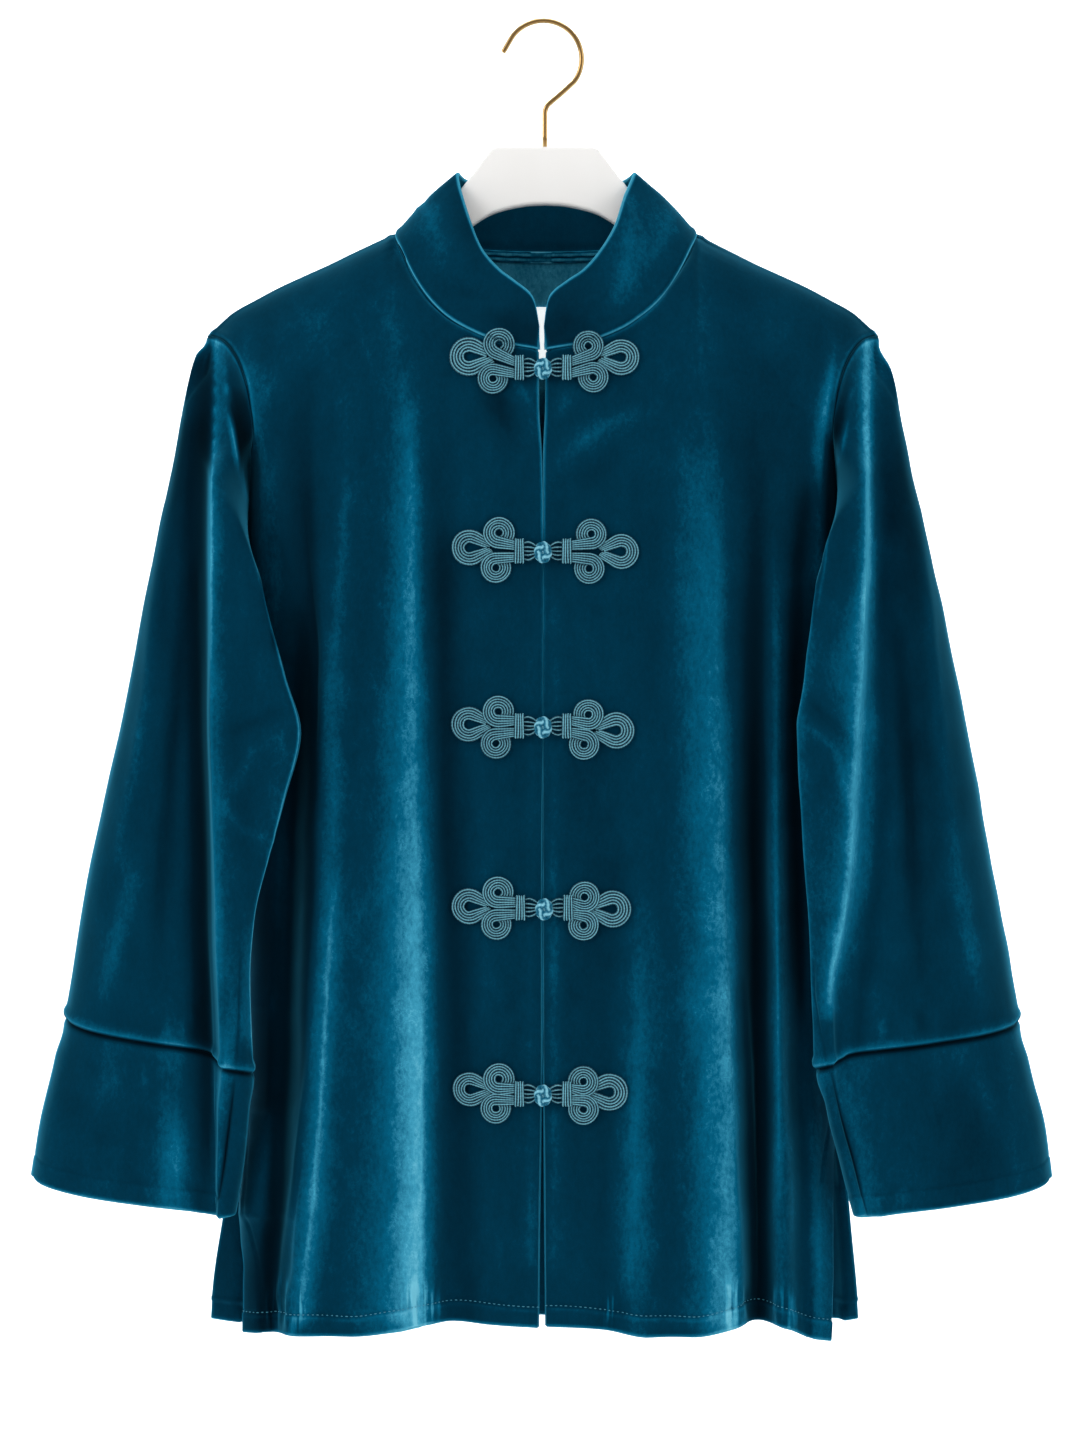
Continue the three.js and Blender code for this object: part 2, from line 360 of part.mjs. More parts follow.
// ---------------------------------------------------------------- sleeves and cuffs
// The places round a ring at one height, from the outer edge over the front to the underarm and back: [out, forward].
function ringPlaces(L) {
  const m = (a, b, u, v = u) => [lerp(L[a + 'x'], L[b + 'x'], u), lerp(L[a + 'y'], L[b + 'y'], v)];
  const wide = L.Ox - L.Ix, roll = Math.min(1, wide / 60);
  const hind = (u) => [lerp(L.Ix, L.Ox, u), lerp(L.Iy + 19 * roll, L.Oy + 13 * roll, u ** 0.9) + 7 * roll * Math.sin(Math.PI * u)];
  return [
    [L.Ox, L.Oy], m('O', 'V', 0.07, 0.42), m('O', 'V', 0.28, 0.80), m('O', 'V', 0.62, 1.0), [L.Vx, L.Vy], m('V', 'R', 0.62, 0.30), [L.Rx, L.Ry],
    [lerp(L.Rx, L.Ix, 0.34), lerp(L.Ry, L.Iy, 0.1) - 1.5], [lerp(L.Rx, L.Ix, 0.76), lerp(L.Ry, L.Iy, 0.4) - 1.5],
    [L.Ix, L.Iy], [L.Ix + 1.5 * roll, L.Iy + 9 * roll], hind(0.10), hind(0.24),
    hind(0.36), hind(0.48), hind(0.60), hind(0.72), hind(0.84), hind(0.94), [L.Ox + 0.2, L.Oy + 7 * roll]];
}
const at = (tr, v) => Object.fromEntries(Object.entries(tr).map(([k, f]) => [k, f(v)]));
const RINGN = RING_FRONT + RING_BACK;
// Heights of the seam line round a ring.
function ringZ(h) {
  const k = { 0: h.O, 4: h.V, 6: h.R, 9: h.I, 12: lerp(h.I, h.K, 0.45), 15: h.K, 20: h.O }, keys = Object.keys(k).map(Number);
  return [...Array(RINGN)].map((_, i) => { let a = 0; while (keys[a + 1] < i) a++; return lerp(k[keys[a]], k[keys[a + 1]], (i - keys[a]) / (keys[a + 1] - keys[a])); });
}
const SLEEVE_ROWS = [0, 0.03, 0.07, 0.13, 0.20, 0.28, 0.37, 0.46, 0.55, 0.64, 0.74, 0.84, 0.93, 1];
function sleeve(who) {
  const s = SIDES[who], tr = SLEEVE[`sleeve_${who}`], end = ringZ(CUFF[`cuff_${who}`].top);
  return SLEEVE_ROWS.map((f, j) => armhole[who].map((a, i) => {
    if (j === 0) return { p: a.p.clone().addScaledVector(a.b, GAP / 2), n: a.n };
    const z = lerp(a.p.z, end[i] + GAP / 2, f), at_ = ringPlaces(at(tr, z))[i];
    // the head stands straight out of the seam at its outer edge, and comes round slowly under the arm
    const home = smooth(0, i === 0 ? 0.05 : i === 1 ? 0.07 : i > 8 && i < 19 ? 0.20 : 0.10, f);
    return { p: V3(lerp(a.p.x, s * at_[0], home), lerp(a.p.y, at_[1], home), z) };
  }));
}
// The cuff starts on the sleeve's last ring, and both turn their edge the same way there.
function cuff(who, ring) {
  const s = SIDES[who], c = CUFF[`cuff_${who}`], top = ringZ(c.top), foot = ringZ(c.foot), n = ring.length;
  ring.forEach((k, i) => {
    const t = ring[(i + 1) % n].p.clone().sub(ring[(i + n - 1) % n].p), out = V3(t.y, -t.x, 0).normalize();
    k.n = out.multiplyScalar(-s);
  });
  return [0, 0.33, 0.66, 1].map((f) => ringPlaces(at(c.line, f)).map((q, i) => f === 0
    ? { p: ring[i].p.clone().add(V3(0, 0, -GAP * 1.15)), n: ring[i].n }
    : { p: V3(s * q[0], q[1], lerp(top[i], foot[i], f)) }));
}

// ---------------------------------------------------------------- collar, tape, label
function collar() {
  const base = [...neckFront.right].reverse().map((k, i) => ({ ...k, f: 1 - NECK_F[NECK_F.length - 1 - i] * 0 }));
  const list = [];
  for (let i = NECK_F.length - 1; i >= 0; i--) list.push({ ...neckFront.right[i], who: 'right', f: NECK_F[i] });
  for (let i = 1; i < NECK_B.length - 1; i++) {
    const k = neckBack[i], a = NECK_B[i];
    list.push({ ...k, who: a <= 0.5 ? 'right' : 'left', f: a <= 0.5 ? -a * 2 : -(1 - a) * 2 });
  }
  for (let i = 0; i < NECK_F.length; i++) list.push({ ...neckFront.left[i], who: 'left', f: NECK_F[i] });
  return [0, 0.25, 0.5, 0.75, 1].map((h) => list.map((k) => {
    const topP = V3(COLLAR[k.who](k.f), COLLAR.y(k.f), COLLAR.z(k.f)), foot = k.p.clone().addScaledVector(k.b, GAP / 2);
    const bow = 2.2 * Math.sin(Math.PI * h) * (k.f > 0.9 ? 0.3 : 1);
    return { p: foot.lerp(topP, h).addScaledVector(k.n, bow), n: h === 0 ? k.n : undefined };
  }));
}
function tape() {
  const list = neckBack.slice(2, -2);
  return [-3.4, 3.4].map((w) => list.map((k) => ({ p: k.p.clone().addScaledVector(k.n, -CLOTH - 1.0 - 1.1 * smooth(55, 95, Math.abs(k.p.x))).addScaledVector(k.b, w * (1 - 0.3 * smooth(55, 95, Math.abs(k.p.x)))), n: k.n })));
}
function label(rows) {
  const zs = [-187, -203.5, -220, -236.5], xs = [-30, -15, 0, 15, 30];
  return zs.map((z) => xs.map((x) => ({ p: V3(x, onSurface(rows, x, z) - CLOTH - 1.0, z), n: V3(0, 1, 0) })));
}
// The y of a panel's outer face at (x, z), from its own facets.
function onSurface(rows, x, z) {
  let best = null, miss = Infinity;
  const tri = (a, b, c) => {
    const d = (b.z - c.z) * (a.x - c.x) + (c.x - b.x) * (a.z - c.z);
    const u = ((b.z - c.z) * (x - c.x) + (c.x - b.x) * (z - c.z)) / d, v = ((c.z - a.z) * (x - c.x) + (a.x - c.x) * (z - c.z)) / d;
    const out = Math.max(0, -u, -v, u + v - 1);
    if (out < miss) { miss = out; const k = [clamp(u), clamp(v)]; best = k[0] * a.y + k[1] * b.y + (1 - k[0] - k[1]) * c.y; }
  };
  for (let r = 1; r < rows.length; r++) for (let c = 1; c < rows[r].length; c++) {
    const [a, b, d, e] = [rows[r - 1][c - 1].p, rows[r][c - 1].p, rows[r][c].p, rows[r - 1][c].p];
    if (Math.min(a.x, b.x, d.x, e.x) - 12 > x || Math.max(a.x, b.x, d.x, e.x) + 12 < x || Math.min(b.z, d.z) - 12 > z || Math.max(a.z, e.z) + 12 < z) continue;
    tri(a, b, d); tri(a, d, e);
  }
  return best;
}

// ---------------------------------------------------------------- frog closures
// One row a closure: the knot, then on each side the drop loop, upper and lower loop (out, up, radius) from the knot.
const FROG_COLUMNS = ['x', 'z', 'rd', 'ru', 'rl', 'ld', 'lu', 'll'];
const FROGS = [
  [0, -237.6, [49, 8.6, 13], [29, 16.6, 10.6], [33, -6.2, 10.3], [51.6, 8, 12.2], [29.8, 15.2, 10.3], [33, -5.4, 10.3]],
  [0, -358.4, [48.4, 3.3, 12], [29, 13, 10.6], [31, -10, 10.3], [51.6, 0.7, 11.7], [31.8, 12.2, 10.3], [30.4, -10.5, 10.3]],
  [0, -473.4, [48.9, 2, 11.7], [29.4, 10.4, 10.6], [31, -10.6, 10.3], [48.2, -2, 12.2], [29.8, 8.4, 10.3], [27, -11.2, 10.3]],
  [0.8, -592.8, [49.4, 1.7, 11.9], [30.4, 11, 10.6], [31.4, -10, 10.3], [45, 0, 12.4], [26.5, 8, 10.3], [25.8, -10.6, 10.3]],
  [0, -714.8, [48.2, 3.6, 11.4], [29, 10.6, 10.6], [31, -8.6, 10.3], [43.6, 2, 12.4], [26.5, 9, 10.3], [26.5, -9.3, 10.3]],
].map((row) => Object.fromEntries(FROG_COLUMNS.map((k, i) => [k, row[i]])));
const CORD_H = 2.6, WRAP = { from: 12.4, to: 18.8, half: 7.4 }, STEM = { from: 6.0, half: 5.2 }, KNOT = { x: 6.4, y: 4.2, z: 7.8 };

function frogHalf(frog, who, under) {
  const s = SIDES[who], loops = who === 'right' ? [frog.rd, frog.ru, frog.rl] : [frog.ld, frog.lu, frog.ll];
  const mid = [loops.reduce((a, l) => a + l[0], 0) / 3 - 2, loops.reduce((a, l) => a + l[1], 0) / 3];
  let lift = frog === FROGS[0] ? 0.6 : 0.4;
  const place = (u, v, h) => { const x = frog.x + s * u, z = frog.z + v; return [x, under(x, z) - lift - h, z]; };
  // outline: how far the loops reach in each direction, closed by the wrapped neck and the stem toward the knot
  const N = 28, reach = (a, shrink) => {
    const d = [Math.cos(a), Math.sin(a)];
    let r = 0;
    for (const [u, v, rad] of loops) {
      const m = [u - mid[0], v - mid[1]], along = m[0] * d[0] + m[1] * d[1], off = m[0] * d[1] - m[1] * d[0], k = (rad - shrink) ** 2 - off * off;
      if (k > 0) r = Math.max(r, along + Math.sqrt(k));
    }
    return r;
  };
  const corner = (k) => Math.atan2(0.9 + k * WRAP.half - mid[1], WRAP.to - mid[0]), wedge = [corner(1) - 0.06, corner(-1) + 2 * Math.PI + 0.06];
  const spokes = [...Array(N)].map((_, i) => 2 * Math.PI * (i + 0.5) / N).filter((a) => reach(a, 0.9) > 3 && (a < wedge[0] || a > wedge[1]));
  const neck = (e) => [[WRAP.to + e, 1], [WRAP.from + e, 1], [WRAP.from + e, 0], [STEM.from + e, 0], [STEM.from + e, 2], [WRAP.from + e, 2], [WRAP.from + e, 3], [WRAP.to + e, 3]]
    .map(([u, k]) => new THREE.Vector2(u, 0.9 + (k < 2 ? 1 : -1) * ((k % 2 ? WRAP.half : STEM.half) - e)));
  const ring = (e) => {
    const q = spokes.map((a) => { const r = e ? Math.max(reach(a, e), reach(a, 0) - 1.6) : reach(a, 0); return new THREE.Vector2(mid[0] + r * Math.cos(a), mid[1] + r * Math.sin(a)); });
    const turn = spokes.findIndex((a) => a > Math.PI);
    return [...q.slice(0, turn), ...neck(e), ...q.slice(turn)];
  };
  const eye = (l, k, grow) => [...Array(6)].map((_, i) => { const a = -2 * Math.PI * i / 6; return new THREE.Vector2(l[0] + (k === 0 ? 1 : 0) + (2.3 + grow) * Math.cos(a) * (k === 0 ? 1.5 : 1), l[1] + (2.0 + grow) * Math.sin(a)); });
  const outer = ring(0), inner = ring(0.8), eyes = loops.map((l, k) => eye(l, k, 0)), eyesTop = loops.map((l, k) => eye(l, k, 0.5));
  const faces = THREE.ShapeUtils.triangulateShape(outer, eyes);
  const flat = [outer, ...eyes].flat(), seat = flat.map((q) => place(q.x, q.y, 0));
  // flat facets over a rounding panel: the motif stands off by what they would cut into it
  let more = 0;
  for (const f of faces) for (const w of [[1, 1, 1], [1, 1, 0], [0, 1, 1], [1, 0, 1], [4, 1, 1], [1, 4, 1], [1, 1, 4]]) {
    const sum = w[0] + w[1] + w[2], q = [0, 1, 2].map((k) => f.reduce((a, i, j) => a + seat[i][k] * w[j], 0) / sum);
    more = Math.max(more, q[1] - under(q[0], q[2]) + 0.35);
  }
  lift += more;
  const flatTop = [inner, ...eyesTop].flat(), M = flat.length, pos = [], idx = [];
  flat.forEach((q) => pos.push(...place(q.x, q.y, 0)));
  flat.forEach((q) => pos.push(...place(q.x, q.y, CORD_H - 0.8)));
  flatTop.forEach((q) => pos.push(...place(q.x, q.y, CORD_H)));
  faces.forEach(([a, b, c]) => idx.push(c, b, a));
  THREE.ShapeUtils.triangulateShape(inner, eyesTop).forEach((f) => idx.push(...f.map((v) => 2 * M + v)));
  let start = 0;
  for (const loop of [outer, ...eyes]) {
    for (let i = 0; i < loop.length; i++) {
      const a = start + i, b = start + (i + 1) % loop.length;
      for (const k of [0, M]) idx.push(k + a, k + b, k + M + b, k + a, k + M + b, k + M + a);
    }
    start += loop.length;
  }
  return solid(pos, idx);
}
function knot(frog, under) {
  const g = mergeVertices(new THREE.SphereGeometry(1, 10, 6).deleteAttribute('uv').deleteAttribute('normal'), 1e-4);
  const y = Math.min(under.right(frog.x - 2, frog.z), under.left(frog.x + 2, frog.z));
  g.scale(KNOT.x - 0.6, KNOT.y, KNOT.z);
  g.translate(frog.x, y - GAP - KNOT.y, frog.z);
  return g;
}

// ---------------------------------------------------------------- hanger
const HANGER = { thick: 12, plateTop: -83.4 };
// Upper and lower edge of the hanger by distance from its middle; from 100 out the upper edge follows the shoulder.
const HANGER_EDGE = track(['x', 'top', 'low'], [
  [0, -83.4, -122], [30, -83.4, -126.4], [35, -84.6, -128.4], [38, -88, -130], [48, -101.3, -136], [55.8, -111, -142.5], [62, -118.5, -148], [80, -131.5, -160], [100, -145.5, -171], [150, -164, -191], [190, -185, -209], [207, -197, -214]]);
function hanger() {
  const rings = [];
  for (const ax of [-207, -204.5, -198, -186, -164, -138, -112, -99, -86, -70, -58, -48, -38.5, -35.5, -31, 0, 31, 35.5, 38.5, 48, 58, 70, 86, 99, 112, 138, 164, 186, 198, 204.5, 207]) {
    const x = ax + 1.2 * (1 - smooth(60, 100, Math.abs(ax))), a = Math.abs(ax);
    let top = HANGER_EDGE.top(a);
    if (a > 96) top = lerp(top, SHOULDER.z(Math.abs(x)) - (CLOTH + 0.55) * 1.17, smooth(96, 104, a));
    top -= 4 * Math.exp(-(((a - 101) / 11) ** 2)) + 1.2 * smooth(185, 204, a);
    let low = HANGER_EDGE.low(a), r = lerp(2.6, 5.9, smooth(56, 92, a)), half = HANGER.thick / 2;
    if (a > 206) { top -= 3.5; low += 3.5; half = 3; r = 2.9; }
    const k = r * 0.29;
    rings.push([[-half, top - r], [-half + k, top - k], [-half + r, top], [half - r, top], [half - k, top - k], [half, top - r],
      [half, low + r], [half - k, low + k], [half - r, low], [-half + r, low], [-half + k, low + k], [-half, low + r]].map(([y, z]) => V3(x, y, z)));
  }
  return capped(rings);
}
const HOOK = { wire: 3.8, radius: 25.7, x: 0.3, stemX: 1.3, stemTop: -56.5 };
function hook() {
  const c = V3(HOOK.x, 0, -HOOK.radius + HOOK.wire / 2), pts = [];
  pts.push(V3(HOOK.stemX, 0, HANGER.plateTop + GAP), V3(HOOK.stemX, 0, -70), V3(HOOK.stemX, 0, -60));
  pts.push(V3(2.2, 0, -56.6), V3(4.6, 0, -53.6), V3(11, 0, -48.4));
  for (let a = -42; a <= 171; a += 14.2) pts.push(c.clone().add(V3(Math.cos(a * Math.PI / 180), 0, Math.sin(a * Math.PI / 180)).multiplyScalar(HOOK.radius)));
  const rings = pts.map((p, i) => {
    const t = pts[Math.min(pts.length - 1, i + 1)].clone().sub(pts[Math.max(0, i - 1)]).normalize(), side = V3(0, 1, 0), up = t.clone().cross(side);
    return [...Array(8)].map((_, k) => p.clone().addScaledVector(side, HOOK.wire / 2 * Math.cos(k * Math.PI / 4)).addScaledVector(up, HOOK.wire / 2 * Math.sin(k * Math.PI / 4)));
  });
  const tip = pts[pts.length - 1], t = tip.clone().sub(pts[pts.length - 2]).normalize();
  rings.push(rings[rings.length - 1].map((p) => tip.clone().addScaledVector(t, 1.2).add(p.clone().sub(tip).multiplyScalar(0.6))));
  return capped(rings);
}

// ---------------------------------------------------------------- the part
const group = new THREE.Group();
group.name = 'velvet_stand_collar_jacket_on_hanger';
const LOOK = {
  velvet: { color: '#0b4a66', roughness: 0.85, metalness: 0 },
  cord: { color: '#5f9db0', roughness: 0.6, metalness: 0 },
  woven: { color: '#f1f0ee', roughness: 0.8, metalness: 0 },
  satin: { color: '#ece9e6', roughness: 0.45, metalness: 0 },
  gold: { color: '#c8963c', roughness: 0.25, metalness: 1 },
};
function add(name, geometry, look) {
  const mesh = new THREE.Mesh(geometry, new THREE.MeshStandardMaterial(LOOK[look]));
  mesh.name = name;
  group.add(mesh);
}
const forward = () => V3(0, -1, 0), rearward = () => V3(0, 1, 0);
const fromAxis = (rows) => (p) => {
  let best = null, d = Infinity;
  for (const row of rows) { const c = row.reduce((a, k) => a.add(k.p), V3(0, 0, 0)).divideScalar(row.length); if (c.distanceTo(p) < d) { d = c.distanceTo(p); best = c; } }
  return p.clone().sub(best);
};
const fronts = { right: frontPanel('right'), left: frontPanel('left') }, back = backPanel();
for (const who of ['right', 'left']) {
  add(`front_${who}`, wall(fronts[who], { outside: forward }), 'velvet');
  const sl = sleeve(who), cu = cuff(who, sl[sl.length - 1]);
  add(`sleeve_${who}`, wall(sl, { closed: true, outside: fromAxis(sl.slice(3)) }), 'velvet');
  add(`cuff_${who}`, wall(cu, { closed: true, outside: fromAxis(cu) }), 'velvet');
}
add('back', wall(back, { outside: rearward }), 'velvet');
const col = collar();
add('collar', wall(col, { outside: (p) => V3(p.x, p.y, 20) }), 'velvet');
add('neck_tape', wall(tape(), { outside: (p) => V3(p.x, p.y, 0), thick: 1 }), 'velvet');
add('label', wall(label(back), { outside: rearward, thick: 1 }), 'woven');
const under = {
  right: (x, z) => onSurface(fronts.right, Math.min(x, -0.5), z),
  left: (x, z) => onSurface(fronts.left, Math.max(x, 0.7), z),
};
FROGS.forEach((frog, i) => {
  for (const who of ['right', 'left']) add(`frog_${i + 1}_${who}`, frogHalf(frog, who, under[who]), 'cord');
  add(`frog_${i + 1}_knot`, knot(frog, under), 'cord');
});
add('hanger_body', hanger(), 'satin');
add('hanger_hook', hook(), 'gold');
export default group;
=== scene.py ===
# Velvet stand-collar jacket with five frog closures on a shaped hanger.
# Metres in the row frame; the tables are in millimetres.  The origin is where a rail bears inside the hook,
# the front looks toward -Y, and side -1 is the wearer's right.
import math

import bmesh
import bpy
import numpy as np
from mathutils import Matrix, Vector
from mathutils.bvhtree import BVHTree


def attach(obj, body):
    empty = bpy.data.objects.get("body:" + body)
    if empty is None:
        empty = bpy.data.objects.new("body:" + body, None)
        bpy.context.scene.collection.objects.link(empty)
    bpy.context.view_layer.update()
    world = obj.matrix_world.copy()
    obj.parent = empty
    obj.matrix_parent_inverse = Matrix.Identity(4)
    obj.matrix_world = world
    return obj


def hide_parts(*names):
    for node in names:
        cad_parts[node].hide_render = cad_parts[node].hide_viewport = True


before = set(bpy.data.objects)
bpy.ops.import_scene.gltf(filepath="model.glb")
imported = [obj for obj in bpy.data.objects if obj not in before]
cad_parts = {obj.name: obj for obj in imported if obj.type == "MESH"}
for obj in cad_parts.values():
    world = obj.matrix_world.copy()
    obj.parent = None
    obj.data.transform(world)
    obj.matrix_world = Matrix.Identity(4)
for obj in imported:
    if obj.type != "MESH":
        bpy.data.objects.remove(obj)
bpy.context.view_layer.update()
scene = bpy.context.scene


# ------------------------------------------------------------------ camera
# Level with the jacket's middle and square to its front, 2.65 m off.  The sensor's long side is the frame's
# height, which takes in 0.956 m at the front panels.
SENSOR = 36
SEEN_HALF, SEEN_AT = 0.47785, 2.6
eye = bpy.data.cameras.new("eye")
eye.sensor_width = SENSOR
eye.lens = SENSOR / 2 / (SEEN_HALF / SEEN_AT)
eye.clip_end = 60
camera = bpy.data.objects.new("eye", eye)
camera.location = (0, -2.65, -0.4712)
camera.rotation_euler = (math.pi / 2, 0, 0)
scene.collection.objects.link(camera)
scene.camera = camera
scene.view_settings.view_transform = "Standard"


# ------------------------------------------------------------------ velvet
# Cotton-backed velvet with a short dense pile, woven face to face and cut.  The pile is dark where it is
# looked into and pale along its side, and lies in small brushed patches.  Its colour also carries painted
# shade in fold valleys and seam grooves, and painted highlight along ridges, edges and seam lips, which
# stands in part for pile crushed lighter there.
class Value:
    """A shader socket that adds Math nodes when it is used in an expression."""

    def __init__(self, tree, socket):
        self.tree, self.socket = tree, socket

    def _math(self, operation, a, b):
        node = self.tree.add("ShaderNodeMath", {"operation": operation}, [a, b])
        return Value(self.tree, node.outputs[0])

    def __add__(self, other):
        return self._math("ADD", self, other)

    def __radd__(self, other):
        return self._math("ADD", other, self)

    def __sub__(self, other):
        return self._math("SUBTRACT", self, other)

    def __rsub__(self, other):
        return self._math("SUBTRACT", other, self)

    def __mul__(self, other):
        return self._math("MULTIPLY", self, other)

    def __rmul__(self, other):
        return self._math("MULTIPLY", other, self)

    def __pow__(self, other):
        return self._math("POWER", self, other)

    def clip(self):
        return self._math("MAXIMUM", self._math("MINIMUM", self, 1), 0)


class Finish:
    """A material's node tree.  Its add makes any node from its type, its settings and its sockets' values or
    links, and the other methods put a name to the nodes that are used most."""

    def __init__(self, name):
        self.material = bpy.data.materials.new(name)
        self.material.use_nodes = True
        self.nodes, self.links = self.material.node_tree.nodes, self.material.node_tree.links
        self.nodes.clear()

    def add(self, kind, settings=(), sockets=()):
        node = self.nodes.new(kind)
        for key, value in dict(settings).items():
            if key == "stops":
                ramp = node.color_ramp
                while len(ramp.elements) < len(value):
                    ramp.elements.new(0.5)
                for element, (place, colour) in zip(ramp.elements, value):
                    element.position, element.color = place, colour
            else:
                setattr(node, key, value)
        pairs = sockets.items() if isinstance(sockets, dict) else enumerate(sockets)
        for key, value in pairs:
            socket = node.inputs[key]
            if isinstance(value, Value):
                self.links.new(value.socket, socket)
            elif isinstance(value, bpy.types.NodeSocket):
                self.links.new(value, socket)
            else:
                socket.default_value = value
        return node

    def value(self, kind, settings=(), sockets=(), out=0):
        return Value(self, self.add(kind, settings, sockets).outputs[out])

    def attribute(self, name):
        return self.value("ShaderNodeAttribute", {"attribute_name": name}, out="Fac")

    def facing(self):
        """0 where the surface faces the eye, 1 where it is seen along its side."""
        return self.value("ShaderNodeLayerWeight", {}, {"Blend": 0.5}, "Facing")

    def position(self):
        return self.add("ShaderNodeTexCoord").outputs["Object"]

    def bump(self, strength, distance, height):
        sockets = {"Strength": strength, "Distance": distance, "Height": height}
        return self.add("ShaderNodeBump", {}, sockets).outputs[0]

    def principled(self, sockets):
        return self.add("ShaderNodeBsdfPrincipled", {}, sockets).outputs[0]

    def mix(self, factor, a, b):
        return self.add("ShaderNodeMix", {"data_type": "RGBA"}, {0: factor, 6: a, 7: b}).outputs[2]

    def noise(self, where, scale, detail=2.0, rough=0.5, stretch=None):
        if stretch:
            where = self.add("ShaderNodeMapping", {}, {"Vector": where, "Scale": stretch}).outputs[0]
        sockets = {"Vector": where, "Scale": scale, "Detail": detail, "Roughness": rough}
        return self.value("ShaderNodeTexNoise", {}, sockets)

    def close(self, shader):
        self.add("ShaderNodeOutputMaterial", {}, {"Surface": shader})
        return self.material


def rgb(r, g, b):
    """A colour as the eye names it, 0 to 255, in the shader's linear numbers."""
    linear = lambda v: v / 255 / 12.92 if v <= 10.3 else ((v / 255 + 0.055) / 1.055) ** 2.4
    return linear(r), linear(g), linear(b), 1.0


# The pile's colour, from painted shade in a fold's valley to painted highlight on a pressed ridge.
PILE_AND_PAINTED_LIGHT = [(0.0, rgb(0, 12, 20)), (0.2, rgb(0, 29, 44)), (0.4, rgb(0, 54, 77)), (0.6, rgb(3, 96, 129)),
        (0.8, rgb(60, 156, 188)), (1.0, rgb(112, 196, 220))]


def velvet(name):
    """Velvet, near black in a fold's valley and pale along a pressed ridge or edge, as painted shade and
    painted highlight in its colour.  It reads three values of its points: crest is 0 for painted shade in a
    valley and 1 for painted highlight on a ridge, the edge value is 1 for painted highlight along an edge or
    a seam's lip, and gather is 1 where the cloth is drawn up."""
    f = Finish(name)
    where = f.position()
    crest, worn = f.attribute("crest"), f.attribute("worn")
    cloud = f.noise(where, 13, 3, 0.55, (1, 1, 0.4))
    brushed = f.noise(where, 95, 4, 0.62, (1, 1, 0.5))
    speck = f.noise(where, 420, 3, 0.6, (1, 1, 0.6))
    pile = f.noise(where, 1500, 2, 0.6)
    # fine curls of crushed pile, and short upright gathers
    swirl = f.noise(where, 210, 2, 0.5)
    curl = (1.0 - ((swirl - 0.5) ** 2.0) * 900.0).clip() * ((brushed - 0.42) * 4.0).clip()
    ruck = f.noise(where, 300, 1, 0.4, (1, 0.3, 0.09))
    drawn = f.attribute("gather") * ((ruck - 0.5) * 7.0).clip()
    # marks show on lit cloth, not in a deep fold
    lit = (crest * 1.6 - 0.25).clip()
    marks = (brushed - 0.5) * 0.26 + (speck - 0.5) * 0.34 + (pile - 0.5) * 0.16 + curl * 0.09
    # painted light: crest brings shade in valleys and highlight on ridges, the edge value a highlight on
    # edges
    level = (crest + drawn * 0.26 + (cloud - 0.5) * 0.22 + lit * marks + worn * 0.5) * 0.8
    ramp = f.add("ShaderNodeValToRGB", {"stops": PILE_AND_PAINTED_LIGHT}, [level.clip()])
    bump = f.bump(0.35, 0.0005, pile * 0.5 + brushed * 0.8 + drawn * 3.0)
    body = f.principled({"Base Color": ramp.outputs[0], "Roughness": 0.9, "Specular IOR Level": 0.02,
                         "Sheen Weight": 0.12, "Sheen Roughness": 0.35, "Sheen Tint": rgb(20, 170, 225),
                         "Normal": bump})
    side = f.principled({"Base Color": rgb(52, 150, 182), "Roughness": 1.0, "Specular IOR Level": 0.0,
                         "Normal": bump})
    edge = (f.facing() ** 2.8) * (crest * 1.1 + 0.28).clip() * 0.9
    return f.close(f.add("ShaderNodeMixShader", {}, [edge, body, side]).outputs[0])


teal = velvet("velvet_teal")


# ------------------------------------------------------------------ front panels
# Two fused velvet fronts that hang from the shoulder line and meet edge to edge at the centre.  Each is cut
# in one with its turnings: a facing turned in, a deep turned hem and a vent at the side.  They are sewn at
# the shoulder, the side and the armhole.
CLOTH = 1.8
TIP_X, TIP_Z = 225.4, -210
NECK_POINT_Z, BACK_NECK_Z = -142.4, -152
NECK_HALF, NECK_MID = 101.5, 1.9
NECK_FORWARD, NECK_BEHIND = -55, 42
UNDERARM, VENT_TOP, HEM_Z = -395, -717, -873
HEM_STITCHED, VENT_STITCHED = 13, 14
ON_SEAM = 1e3


def track(names, rows):
    """Smooth columns of a table, each looked up by the first one, which may run either way."""
    table = np.array(sorted(rows), float)
    xs, step = table[:, 0], np.diff(table[:, 0])

    def column(ys):
        slope = np.diff(ys) / step
        m = np.concatenate([slope[:1], np.zeros(len(xs) - 2), slope[-1:]])
        rising = slope[:-1] * slope[1:] > 0
        m[1:-1][rising] = (2 * slope[:-1] * slope[1:])[rising] / (slope[:-1] + slope[1:])[rising]

        def look(x):
            x = np.clip(x, xs[0], xs[-1])
            i = np.clip(np.searchsorted(xs, x) - 1, 0, len(xs) - 2)
            t = (x - xs[i]) / step[i]
            u = 1 - t
            ends = ys[i] * u * u * (1 + 2 * t) + ys[i + 1] * t * t * (1 + 2 * u)
            return ends + step[i] * t * u * (m[i] * u - m[i + 1] * t)
        return look
    return {name: column(table[:, k + 1]) for k, name in enumerate(names[1:])}


def smooth(a, b, v):
    t = np.clip((v - a) / (b - a), 0, 1)
    return t * t * (3 - 2 * t)


def lerp(a, b, t):
    return a + (b - a) * t


def bell(d, half):
    """1 on a line, falling off to both sides of it."""
    return np.exp(-(d / half) ** 2)


